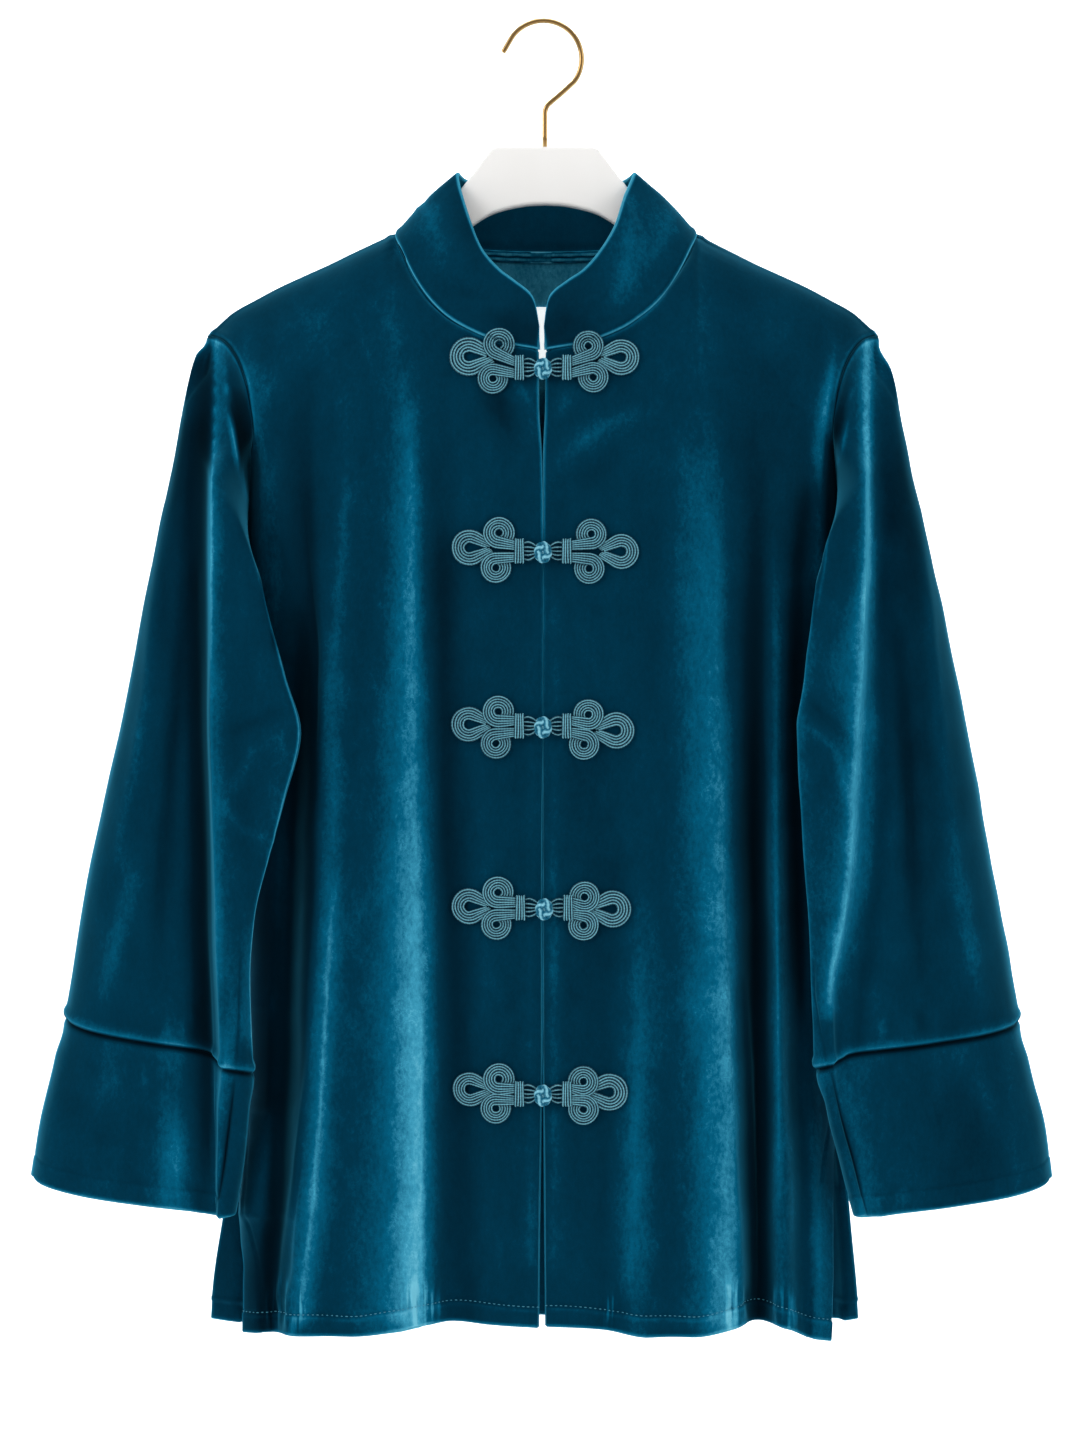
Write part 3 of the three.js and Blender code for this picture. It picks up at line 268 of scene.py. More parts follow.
# The seams and edges as smooth lines.  An f runs along a seam from 0 to 1: down the neck from its point, and
# down an armhole from the shoulder tip.
SHOULDER = track("xz", [[99, -142.4], [111, -147.6], [127, -155], [143, -162.8], [159, -170],
                        [175.6, -177.6], [191.7, -186], [208, -195], [216, -201.6], [225.4, -210]])["z"]
NECK = track(["f", "right", "left", "z"], [[0, -99.6, 103.4, -142.4], [0.03, -99.2, 103.0, -144.6],
    [0.14, -95, 98.6, -154.5], [0.30, -86, 89, -173.5], [0.46, -75.5, 78, -189.5], [0.62, -62.5, 64, -202.4],
    [0.78, -46, 48, -212.3], [0.90, -26, 27, -220], [1, -3.2, 2.2, -224.5]])
ARM_FRONT = track("fxyz", [[0, 225.4, 0, -210], [0.035, 219.5, -7, -211.6], [0.09, 212.4, -15.5, -215.6],
    [0.20, 201, -29, -233], [0.31, 195, -37, -254], [0.42, 193.2, -33, -274], [0.52, 196, -20, -293],
    [0.66, 198, -11, -323], [0.83, 198.4, -5, -360], [1, 198, 0, UNDERARM]])
ARM_BACK = track("fxyz", [[0, 225.4, 0, -210], [0.04, 219.5, 7, -211.6], [0.14, 210, 19, -222],
    [0.30, 200, 28, -252], [0.50, 197, 27, -292], [0.72, 197.4, 17, -336], [0.88, 198, 7, -370],
    [1, 198, 0, UNDERARM]])
SIDE = track("zxy", [[UNDERARM, 198, 0], [-480, 197.5, 0], [-600, 198.4, -1], [VENT_TOP, 197.4, -5]])
VENT = {
    "front_right": track("zxy", [[VENT_TOP, 197.4, -5], [-745, 199, -20], [-787, 201.4, -34],
        [-813, 200, -39], [-834, 197.8, -41], [-873, 197.4, -42]]),
    "front_left": track("zxy", [[VENT_TOP, 197.4, -5], [-745, 195, -22], [-787, 192, -38], [-813, 191, -44],
        [-834, 190.6, -46], [-878, 189.4, -48]]),
    "back_right": track("zxy", [[VENT_TOP, 197.4, -5], [-745, 204, 4], [-801, 215, 13], [-845, 222, 17],
        [-873, 224.3, 18]]),
    "back_left": track("zxy", [[VENT_TOP, 197.4, -5], [-745, 201, 4], [-801, 206.6, 13], [-845, 210.4, 17],
        [-873, 212.2, 18]]),
}
EDGE = track(["z", "right", "left"], [[-224.5, -3.2, 2.2], [-262, -3.0, 1.9], [-296, -1.0, 0.6],
    [-330, -0.3, 0.5], [-480, -0.3, 0.5], [-530, -1.1, 0.5], [-600, -1.3, 0.5], [-690, -1.2, 0.7],
    [-735, -1.7, 1.2], [-800, -2.8, 1.7], [-870, -3.4, 2.2]])
# How high the hems hang at each x.
HEM = {
    "front_right": track("xz", [[-203, -873], [-175, -872], [-150, -872.4], [-126, -873], [-95, -869],
        [-75, -864], [-61, -863], [-35, -865], [-3, -867]])["z"],
    "front_left": track("xz", [[2, -866], [38, -868], [70, -873], [97, -873], [125, -867], [140, -863.5],
        [158, -867], [175, -875], [190, -878]])["z"],
    "back": track("xz", [[-225, -873], [-150, -876], [-70, -871], [10, -875], [90, -871], [160, -876],
        [213, -873]])["z"],
}
CHEST_Z = -300
# Folds: the crest's x at the chest and at the hem, where it starts and is full, how far it stands out (+) or
# sinks in (-), its reach toward the side and toward the centre, and where it ends if it does.
FOLDS = {
    "front_right": [(-139, -163, -330, -560, 9, 15, 27, None), (-157, -178, -380, -600, -7, 12, 12, None),
        (-88, -80, -225, -420, 8, 34, 20, None), (-60, -58, -420, -640, -5, 18, 22, None),
        (-190, -192, -212, -300, 5, 12, 16, -430)],
    "front_left": [(105, 124, -240, -420, 10, 15, 36, None), (138, 143, -330, -620, -10, 14, 14, None),
        (150, 159, -420, -600, 6, 9, 10, None), (167, 173, -480, -640, -4, 9, 9, None),
        (62, 66, -560, -800, 4, 18, 26, None), (190, 192, -212, -300, 5, 12, 16, -430)],
    "back": [(-152, -170, -330, -600, 10, 18, 30, None), (-92, -98, -300, -620, -8, 24, 26, None),
        (-44, -40, -260, -560, 7, 30, 30, None), (26, 30, -380, -700, -6, 24, 26, None),
        (82, 88, -270, -560, 9, 26, 34, None), (128, 136, -340, -620, -8, 18, 20, None),
        (158, 172, -330, -600, 8, 16, 20, None)],
}
# The f of the panels' rows down the armholes and the front neck, and the heights of the rows below them.
ARM_F = [0, 0.035, 0.09, 0.17, 0.25, 0.33, 0.41, 0.48, 0.55, 0.64, 0.75, 0.87, 1]
ARM_B = [0, 0.04, 0.14, 0.28, 0.42, 0.56, 0.70, 0.86, 1]
NECK_F = [0, 0.03, 0.16, 0.31, 0.47, 0.64, 0.82, 1]
LOWER = [UNDERARM, -450, -520, -590, -655, VENT_TOP, -762, -815, HEM_Z]


def front_neck_z(x):
    along = np.linspace(0, 1, 41)
    return np.interp(-np.abs(x), -NECK["left"](along), NECK["z"](along))


def back_neck_z(x):
    return BACK_NECK_Z + (NECK_POINT_Z - BACK_NECK_Z) * (np.abs(x - NECK_MID) / NECK_HALF) ** 2.2


def neck_y(x, depth):
    """How far forward or behind the neck seam runs: none at the neck points, its depth at the centre."""
    return depth * np.maximum(0, 1 - ((x - NECK_MID) / NECK_HALF) ** 2) ** 0.42


def full_width(z):
    """Half the body's width at a height, before the folds."""
    chest = np.clip((z - UNDERARM) / (TIP_Z - UNDERARM), 0, 1)
    return lerp(198, 226, chest ** 2) + 6 * smooth(VENT_TOP, HEM_Z, z)


def shoulder_z(x):
    """The shoulder seam's height, from each neck point out to the tip."""
    neck = np.where(np.asarray(x) < 0, -NECK["right"](0.0), NECK["left"](0.0))
    share = np.clip((np.abs(x) - neck) / (TIP_X - neck), 0, 1)
    return SHOULDER(np.abs(x)) + (NECK["z"](0.0) - SHOULDER(neck)) * (1 - share) ** 9


def folds(rows, x, z):
    """How far the long folds lift the cloth off its plain form."""
    depth = np.zeros(np.broadcast(x, z).shape)
    fallen = np.clip((z - CHEST_Z) / (HEM_Z - CHEST_Z), 0, 1)
    for x0, x1, start, full, high, out, inward, end in rows:
        grow = smooth(start, full, z) * (1 - smooth(full, end, z) if end else 1)
        dx = (x - lerp(x0, x1, fallen)) * np.sign(x0)
        w = np.where(dx > 0, out, inward)
        across = np.cos(np.pi / 2 * np.clip(dx / w, -1, 1)) ** 2
        depth += high * grow * np.where(np.abs(dx) < w, across, 0)
    return depth


def stand(x, z, back=False):
    """How far the cloth stands from the hanger's plane."""
    in_neck = np.abs(x - NECK_MID) < NECK_HALF
    top_z = np.where(in_neck, back_neck_z(x) if back else front_neck_z(x), shoulder_z(x))
    top = np.where(in_neck, neck_y(x, NECK_BEHIND if back else -NECK_FORWARD), 0)
    q = np.sqrt(1 - (1 - np.clip((top_z - z) / (150 if back else 190), 0, 1)) ** 2)
    full = 44 + 4 * smooth(-400, HEM_Z, z) if back else 57 + 7 * smooth(-350, HEM_Z, z)
    return top + (full * np.sqrt(1 - np.clip(np.abs(x) / full_width(z), 0, 1) ** 5) - top) * q


def armhole(side, j, back=False):
    """The armhole seam at row j: 0 at the shoulder tip, the last at the underarm."""
    table, places = (ARM_BACK, ARM_B) if back else (ARM_FRONT, ARM_F)
    f = np.interp(j, range(len(places)), places)
    return np.stack([side * table["x"](f), table["y"](f), table["z"](f)], -1)


def unit(v):
    return v / np.maximum(np.linalg.norm(v, axis=-1, keepdims=True), 1e-9)


def normals(p, closed=False):
    """Each grid point's own normal."""
    across = np.roll(p, -1, 1) - np.roll(p, 1, 1) if closed else np.gradient(p, axis=1)
    return unit(np.cross(np.gradient(p, axis=0), across))


def run_down(p):
    """How far down its column each grid point is from the first row, mm."""
    steps = np.linalg.norm(np.diff(p, axis=0), axis=-1)
    return np.concatenate([np.zeros((1, p.shape[1])), np.cumsum(steps, 0)])


def side_edge(side, vent, z):
    """The side seam at heights z, and below it the edge of one panel's vent."""
    x, y = (np.where(z >= VENT_TOP, SIDE[key](z), vent[key](z)) for key in "xy")
    return np.stack([side * x, y, z], -1)


def eased(y, near):
    """A grid's heights with its sharp turns evened out sideways where near is 1."""
    for _ in range(36):
        y = y + 0.5 * near * ((np.roll(y, 1, 1) + np.roll(y, -1, 1)) / 2 - y)
    return y


def below_neck_point(x, down, away=ON_SEAM):
    """1 on the cloth below the neck points, where shoulder and neck meet, and 0 at its seams."""
    return bell(np.abs(x - NECK_MID) - NECK_HALF, 16) * smooth(0.5, 8, down) * smooth(0.5, 8, away)


def waves(x, z, seed, size, high):
    """Slow uneven swells over the cloth: a few sine sheets that never line up."""
    draw = np.random.default_rng(seed)
    total, sheets = np.zeros(np.broadcast(x, z).shape), 9
    for _ in range(sheets):
        a, b, c = draw.normal(0, 1, 3)
        total += np.sin((a * x + b * z * 0.6) * 2 * np.pi / size / 1.4 + c * 5)
    return total / sheets ** 0.5 * high


def creases(rows, x, z):
    """Short creases: (depth, half width, [points x, z along it]).  They fade toward both ends."""
    total = np.zeros(np.broadcast(x, z).shape)
    for high, half, path in rows:
        path = np.array(path, float)
        lengths = np.linalg.norm(np.diff(path, axis=0), axis=1)
        run = np.concatenate([[0], np.cumsum(lengths)])
        best, along = np.full(total.shape, 1e9), np.zeros(total.shape)
        for k in range(len(path) - 1):
            d = path[k + 1] - path[k]
            t = np.clip(((x - path[k, 0]) * d[0] + (z - path[k, 1]) * d[1]) / (d @ d), 0, 1)
            away = np.hypot(x - path[k, 0] - d[0] * t, z - path[k, 1] - d[1] * t)
            near = away < best
            best = np.where(near, away, best)
            along = np.where(near, (run[k] + lengths[k] * t) / run[-1], along)
        fade = np.sin(np.pi * np.clip(along * 0.92 + 0.04, 0, 1)) ** 0.7
        total += high * fade / (1 + (best / half) ** 2) ** 2
    return total


def streaks(rows, x, z):
    """Painted light and shade along the long folds, together with the pile's brushing, in rows of reach to
    -X, reach to +X, and points x, z and how much lighter (+) or darker (-).  A lit ridge is narrow, a dark
    fold broad."""
    total = np.zeros(np.broadcast(x, z).shape)
    for left, right, path in rows:
        line = track("zxt", [(b, a, c) for a, b, c in path])
        d, t = x - line["x"](z), line["t"](z)
        low, top = min(b for _, b, _ in path), max(b for _, b, _ in path)
        on = smooth(low - 20, low, z) * smooth(top + 20, top, z)
        away = np.abs(d) / np.where(d < 0, left, right)
        total += on * np.where(t > 0, t * np.exp(-away ** 1.3), 0.8 * t * np.exp(-away ** 2))
    return total


def lip(d, high=0.8, half=3.6):
    """A seam's raised lip: nothing on the seam itself, full at `half` from it."""
    low = np.exp(-1 / 0.49)
    return high * np.maximum(bell(d - half, 0.7 * half) - low * np.exp(-d / half), 0)


def turn_hem(high, x, drop):
    """The relief with the hem's turning, drawn in by its row of stitches; also that row's place from the
    hem."""
    stitched = -HEM_STITCHED - 0.4 * np.sin(x / 9)
    high = high + (0.55 * smooth(-14, -12, drop) - 0.9 * bell(drop - stitched, 1.0))
    pucker = np.sin(x / 2.9 + 1.3 * np.sin(x / 17)) * bell(drop + 11, 5)
    return high + 0.22 * pucker, stitched


def turn_vent(high, z, away):
    """The relief with the vent's facing, caught at its inner edge."""
    opened = smooth(VENT_TOP, VENT_TOP - 40, z)
    facing = 0.45 * smooth(VENT_STITCHED + 1, VENT_STITCHED - 1, away) - 0.8 * bell(away - VENT_STITCHED, 1.1)
    return high + opened * facing


def mesh_piece(name, points, faces, material, layers=()):
    """A piece with its place in its mesh, smooth all over, with named values on its points."""
    mesh = bpy.data.meshes.new(name)
    mesh.from_pydata((np.asarray(points) * 0.001).tolist(), [], faces)
    for key, data in dict(layers).items():
        values = mesh.attributes.new(key, "FLOAT", "POINT").data
        values.foreach_set("value", np.asarray(data, np.float32).ravel())
    mesh.shade_smooth()
    mesh.materials.append(material)
    piece = bpy.data.objects.new(name, mesh)
    scene.collection.objects.link(piece)
    return piece


def cloth(name, p, outward, closed=False, thick=CLOTH, crest=0.5, worn=0.0, rims=(1, 1, 1, 1), inside=None,
          material=teal):
    """A shell of one thickness from a grid of its outer face, mm.  Where rims is 1, an edge is free, and
    rounded for that: first row, last row, first column, last column, of which a closed shell has only the
    rows.  A sewn edge is flat, and a rounded one gets at least a middling painted highlight.  The velvet
    reads crest, its painted shade and highlight, and the edge value, its painted highlight along edges and
    seams; inside is the inner face's crest if it has its own."""
    rows, cols = p.shape[:2]
    count = rows * cols
    n = normals(p, closed)
    if (n * outward(p)).sum() < 0:
        n = -n
    crest, worn = np.broadcast_to(crest, (rows, cols)), np.broadcast_to(worn, (rows, cols))
    inside = crest if inside is None else np.broadcast_to(inside, (rows, cols))
    points = [p.reshape(-1, 3), (p - n * thick).reshape(-1, 3)]
    crests, painted_sheens = [crest.ravel(), inside.ravel()], [worn.ravel(), worn.ravel()]
    at = lambda r, c: r * cols + c % cols
    r, c = np.meshgrid(np.arange(rows - 1), np.arange(cols if closed else cols - 1), indexing="ij")
    quad = np.stack([at(r, c), at(r + 1, c), at(r + 1, c + 1), at(r, c + 1)], -1).reshape(-1, 4)
    flip = (np.cross(p[1, 0] - p[0, 0], p[0, 1] - p[0, 0]) * n[0, 0]).sum() < 0
    outer, inner = (quad[:, ::-1], quad) if flip else (quad, quad[:, ::-1])
    faces = outer.tolist() + (inner + count).tolist()

    def rim(ids, next_ids, turn, rounded, base):
        """Joins the outer face's edge (ids) to the inner one's, over three middle rows if it is rounded."""
        out = unit(points[0][ids] - points[0][next_ids])
        rings = [ids]
        if rounded:
            for t, far in ((0.22, 0.40), (0.5, 0.52), (0.78, 0.40)):
                points.append(lerp(points[0][ids], points[1][ids], t) + out * thick * far)
                crests.append(crests[0][ids])
                # a rounded rim gets at least a middling painted highlight
                painted_sheens.append(np.maximum(painted_sheens[0][ids], 0.6))
                rings.append(np.arange(base, base + len(ids)))
                base += len(ids)
        rings.append(ids + count)
        m = len(ids)
        for ra, rb in zip(rings, rings[1:]):
            for k in range(m if closed else m - 1):
                q = [ra[k], rb[k], rb[(k + 1) % m], ra[(k + 1) % m]]
                faces.append([int(v) for v in (q if turn ^ flip else q[::-1])])
        return base

    row, column, base = np.arange(rows), np.arange(cols), 2 * count
    edges = [(at(0, column), at(1, column), True), (at(rows - 1, column), at(rows - 2, column), False),
             (at(row, 0), at(row, 1), False), (at(row, cols - 1), at(row, cols - 2), True)]
    for (ids, next_ids, turn), rounded in zip(edges, rims):
        base = rim(ids, next_ids, turn, rounded, base)
    layers = {"crest": np.concatenate(crests), "worn": np.concatenate(painted_sheens)}
    return mesh_piece(name, np.concatenate(points), faces, material, layers)


def fit(piece, node):
    """Lets a dressed piece stand for its node, on the one body."""
    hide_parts(node)
    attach(piece, "root")


# Rows of stitches, by the piece they are in.
sewn = {}


def level_line(p, value):
    """Where value passes 0 along each line of a grid's first direction."""
    points = []
    for k in range(p.shape[1]):
        v = value[:, k]
        i = np.nonzero((v[:-1] < 0) != (v[1:] < 0))[0]
        if len(i):
            points.append(lerp(p[i[0], k], p[i[0] + 1, k], v[i[0]] / (v[i[0]] - v[i[0] + 1])))
    return np.array(points)


def edge_columns(middle, near=(0, 0.0035, 0.008, 0.014, 0.022)):
    """Places across a panel, 0 to 1, close together at both edges so that a seam's dip shows."""
    near = np.array(near)
    return np.concatenate([near, np.linspace(near[-1], 1 - near[-1], middle)[1:-1], 1 - near[::-1]])


def high_pass(field, rows, cols, closed=False):
    """What stands out (+) or lies back (-) against its surroundings on a grid."""
    def blur(a, n, axis, mode):
        for _ in range(2):
            pad = [(0, 0), (0, 0)]
            pad[axis] = (n, n)
            run = np.cumsum(np.pad(a, pad, mode=mode), axis=axis)
            size = run.shape[axis]
            start = np.zeros_like(np.take(run, [0], axis=axis))
            low = np.concatenate([start, np.take(run, range(size - 2 * n - 1), axis=axis)], axis=axis)
            a = (np.take(run, range(2 * n, size), axis=axis) - low) / (2 * n + 1)
        return a
    return field - blur(blur(field, rows, 0, "reflect"), cols, 1, "wrap" if closed else "reflect")


def front_panel(side, js, ts):
    """The outer face of a front: rows js from the shoulder (0) to the hem (20), columns ts from the centre
    (0) to the side (1).  Also its inner and its outer edge at each point's row."""
    who = "right" if side < 0 else "left"
    name = f"front_{who}"
    hem, edge_z = HEM[name], [-224.5, -258, -292, -326, -360, UNDERARM - 3] + LOWER[1:]
    y = lambda x, z: -stand(x, z) - folds(FOLDS[name], x, z)

    def inner(j):
        """The neck seam down to row 7, then the free edge."""
        f = np.interp(j, range(8), NECK_F)
        free, on = np.interp(j, range(7, 21), edge_z), j <= 7
        x, z = np.where(on, NECK[who](f), EDGE[who](free)), np.where(on, NECK["z"](f), free)
        return np.stack([x, np.where(on, neck_y(x, NECK_FORWARD) * (f > 0), y(x, z)), z], -1)

    def outer(j):
        """The armhole down to row 12, then the side seam and the vent."""
        below = side_edge(side, VENT[name], np.interp(j, range(12, 21), LOWER))
        return np.where((j <= 12)[..., None], armhole(side, j), below)

    def place(j, t):
        """x, z and the share across, at whole rows."""
        a, b = inner(j), outer(j)
        u = lerp(t, lerp(t, 1 - (1 - t) ** 1.3, 0.8), np.clip(j - 6, 0, 1))
        x, z = lerp(a[..., 0], b[..., 0], u), lerp(a[..., 2], b[..., 2], u)
        sag = SHOULDER(lerp(abs(NECK[who](0)), TIP_X, t)) - lerp(NECK_POINT_Z, TIP_Z, t)
        upper = z + sag * np.clip(1 - (j - 1) / 11, 0, 1) ** 2
        return x, np.where(j < 12, upper, z + (hem(x) - HEM_Z) * smooth(UNDERARM, HEM_Z, z)), u

    def roof(j, t):
        """The same above row 1, under the shoulder seam."""
        a, b = inner(j), outer(j)
        x, fall = lerp(a[..., 0], b[..., 0], t), 2 * j ** 2
        off = lambda q: q[..., 2] - shoulder_z(q[..., 0]) + fall
        return x, shoulder_z(x) - fall + off(b) * t ** 9 + off(a) * (1 - t) ** 9, t

    J, T = np.meshgrid(js, ts, indexing="ij")
    low = np.clip(np.floor(J), 1, 19)
    k = np.clip(J - low, 0, 1)
    xa, za, ua = place(low, T)
    xr, zr, _ = roof(np.ones_like(J), T)
    xa, za = np.where(low == 1, xr, xa), np.where(low == 1, zr, za)
    xb, zb, ub = place(low + 1, T)
    x, z, u = lerp(xa, xb, k), lerp(za, zb, k), lerp(ua, ub, k)
    for at, weight in ((inner, (1 - u) ** 3), (outer, u ** 3)):
        off = at(J) - lerp(at(low), at(low + 1), k[..., None])
        x, z = x + off[..., 0] * weight, z + off[..., 2] * weight
    xt, zt, _ = roof(np.clip(J, 0, 1), T)
    top = J < 1
    x, z, u = np.where(top, xt, x), np.where(top, zt, z), np.where(top, T, u)
    a, b = inner(J), outer(J)
    ca = np.where(J <= 7, a[..., 1] - y(a[..., 0], a[..., 2]), 0)
    cb = b[..., 1] - y(b[..., 0], b[..., 2])
    p = np.stack([x, y(x, z) + ca * (1 - u) ** 5 + cb * u ** 6, z], -1)
    p[js == 0, :, 1] = 0
    return p, a, b


# Small creases of each front: depth, half width, points (x, z).
SMALL = {
    "front_right": [
        (-2.2, 3.0, [(-158, -330), (-150, -420), (-150, -520)]),
        (1.6, 4.0, [(-128, -300), (-136, -400), (-150, -500)]),
        (1.8, 3.0, [(-146, -640), (-160, -740), (-175, -850)]),
        (-1.6, 3.0, [(-150, -700), (-166, -800), (-172, -872)]), (1.5, 3.0, [(-168, -838), (-170, -875)]),
        (-1.3, 2.5, [(-176, -846), (-176, -875)]), (1.2, 2.2, [(-183, -850), (-181, -875)]),
        (1.6, 3.2, [(-76, -830), (-82, -875)]), (-1.4, 2.6, [(-87, -842), (-88, -875)]),
        (1.0, 5, [(-30, -800), (-24, -850)]), (-1.0, 5, [(-12, -640), (-30, -668)]),
        (0.9, 6, [(-20, -500), (-60, -560)]), (0.8, 3, [(-4, -742), (-16, -782)]),
        (1.2, 7, [(-60, -230), (-110, -300), (-140, -340)]),
        (-1.0, 6, [(-90, -190), (-140, -230), (-170, -260)]),
        (1.3, 4, [(-40, -246), (-24, -254), (-5, -266)]), (-1.2, 4, [(-44, -256), (-30, -268), (-16, -288)]),
        (0.9, 2.5, [(-30, -276), (-18, -284), (-4, -286)]),
        (1.0, 3, [(-200, -420), (-180, -445), (-150, -460)]),
        (-1.2, 3, [(-198, -400), (-176, -428), (-160, -436)])],
    "front_left": [
        (1.8, 3.0, [(116, -560), (122, -700), (130, -850)]),
        (-1.4, 2.6, [(150, -600), (156, -740), (160, -860)]),
        (1.8, 2.4, [(134, -640), (138, -740), (140, -860)]), (1.4, 3.0, [(45, -835), (45, -868)]),
        (-1.2, 2.4, [(52, -842), (53, -868)]), (1.4, 2.2, [(124, -838), (128, -866)]),
        (-1.4, 2.2, [(133, -842), (136, -866)]), (1.3, 2.4, [(155, -846), (158, -870)]),
        (-1.0, 5, [(14, -640), (30, -664)]), (0.9, 6, [(24, -490), (60, -556)]),
        (0.8, 3, [(5, -742), (18, -780)]), (1.2, 7, [(60, -230), (96, -300), (108, -340)]),
        (-1.0, 6, [(100, -190), (140, -230), (168, -262)]), (1.5, 5, [(76, -264), (40, -276), (6, -304)]),
        (-1.3, 5, [(62, -278), (36, -292), (12, -318)]), (1.0, 1.8, [(22, -300), (14, -305), (3, -308)]),
        (1.0, 3, [(200, -420), (184, -445), (156, -462)]),
        (-1.2, 3, [(198, -400), (180, -424), (164, -434)])],
}


# Sharp pale lines along a fold: painted highlight, standing in part for the pile pressed there.
CRISP_PAINTED_HIGHLIGHTS = {
    "front_right": [
        (0.30, 1.1, [(-133, -560), (-140, -607), (-143, -666), (-146.5, -725), (-151, -785), (-157, -840),
            (-160, -872)]),
        (0.26, 1.3, [(-80, -640), (-79.5, -772), (-80, -880)])],
    "front_left": [
        (0.16, 1.2, [(154, -403), (154, -587), (154.5, -686), (155, -800)]),
        (0.14, 1.4, [(122, -640), (124, -752), (126, -870)]),
        (0.25, 1.2, [(193, -230), (189, -255), (186, -280), (184, -320)])],
}
# Where the hem's turning is drawn into short gathers by its stitches.
HEM_GATHERS = {
    "front_right": [
        (0.9, 0.9, [(-173, -836), (-175, -850), (-174, -868)]),
        (0.8, 0.8, [(-167, -840), (-168.5, -852), (-167, -870)]),
        (-0.7, 0.9, [(-170, -842), (-171.5, -856), (-170.5, -870)]),
        (0.9, 0.9, [(-159, -838), (-161, -852), (-163, -868)]), (-0.6, 0.8, [(-164, -846), (-165, -868)]),
        (0.6, 0.8, [(-180, -846), (-180, -868)]), (0.8, 0.8, [(-85, -836), (-84, -850), (-85, -866)]),
        (0.7, 0.8, [(-79, -840), (-78, -862)]), (-0.6, 0.8, [(-82, -842), (-81, -864)]),
        (0.6, 0.8, [(-74, -842), (-72, -860)])],
    "front_left": [
        (0.7, 0.8, [(44, -846), (45, -866)]), (0.9, 0.9, [(119, -836), (121, -852), (124, -868)]),
        (-0.7, 0.8, [(123, -842), (125, -864)]), (0.8, 0.8, [(129, -838), (131, -862)]),
        (0.8, 0.8, [(153, -842), (155, -866)]), (-0.6, 0.8, [(157, -846), (158.5, -868)]),
        (0.7, 0.8, [(161, -846), (163, -868)])],
}
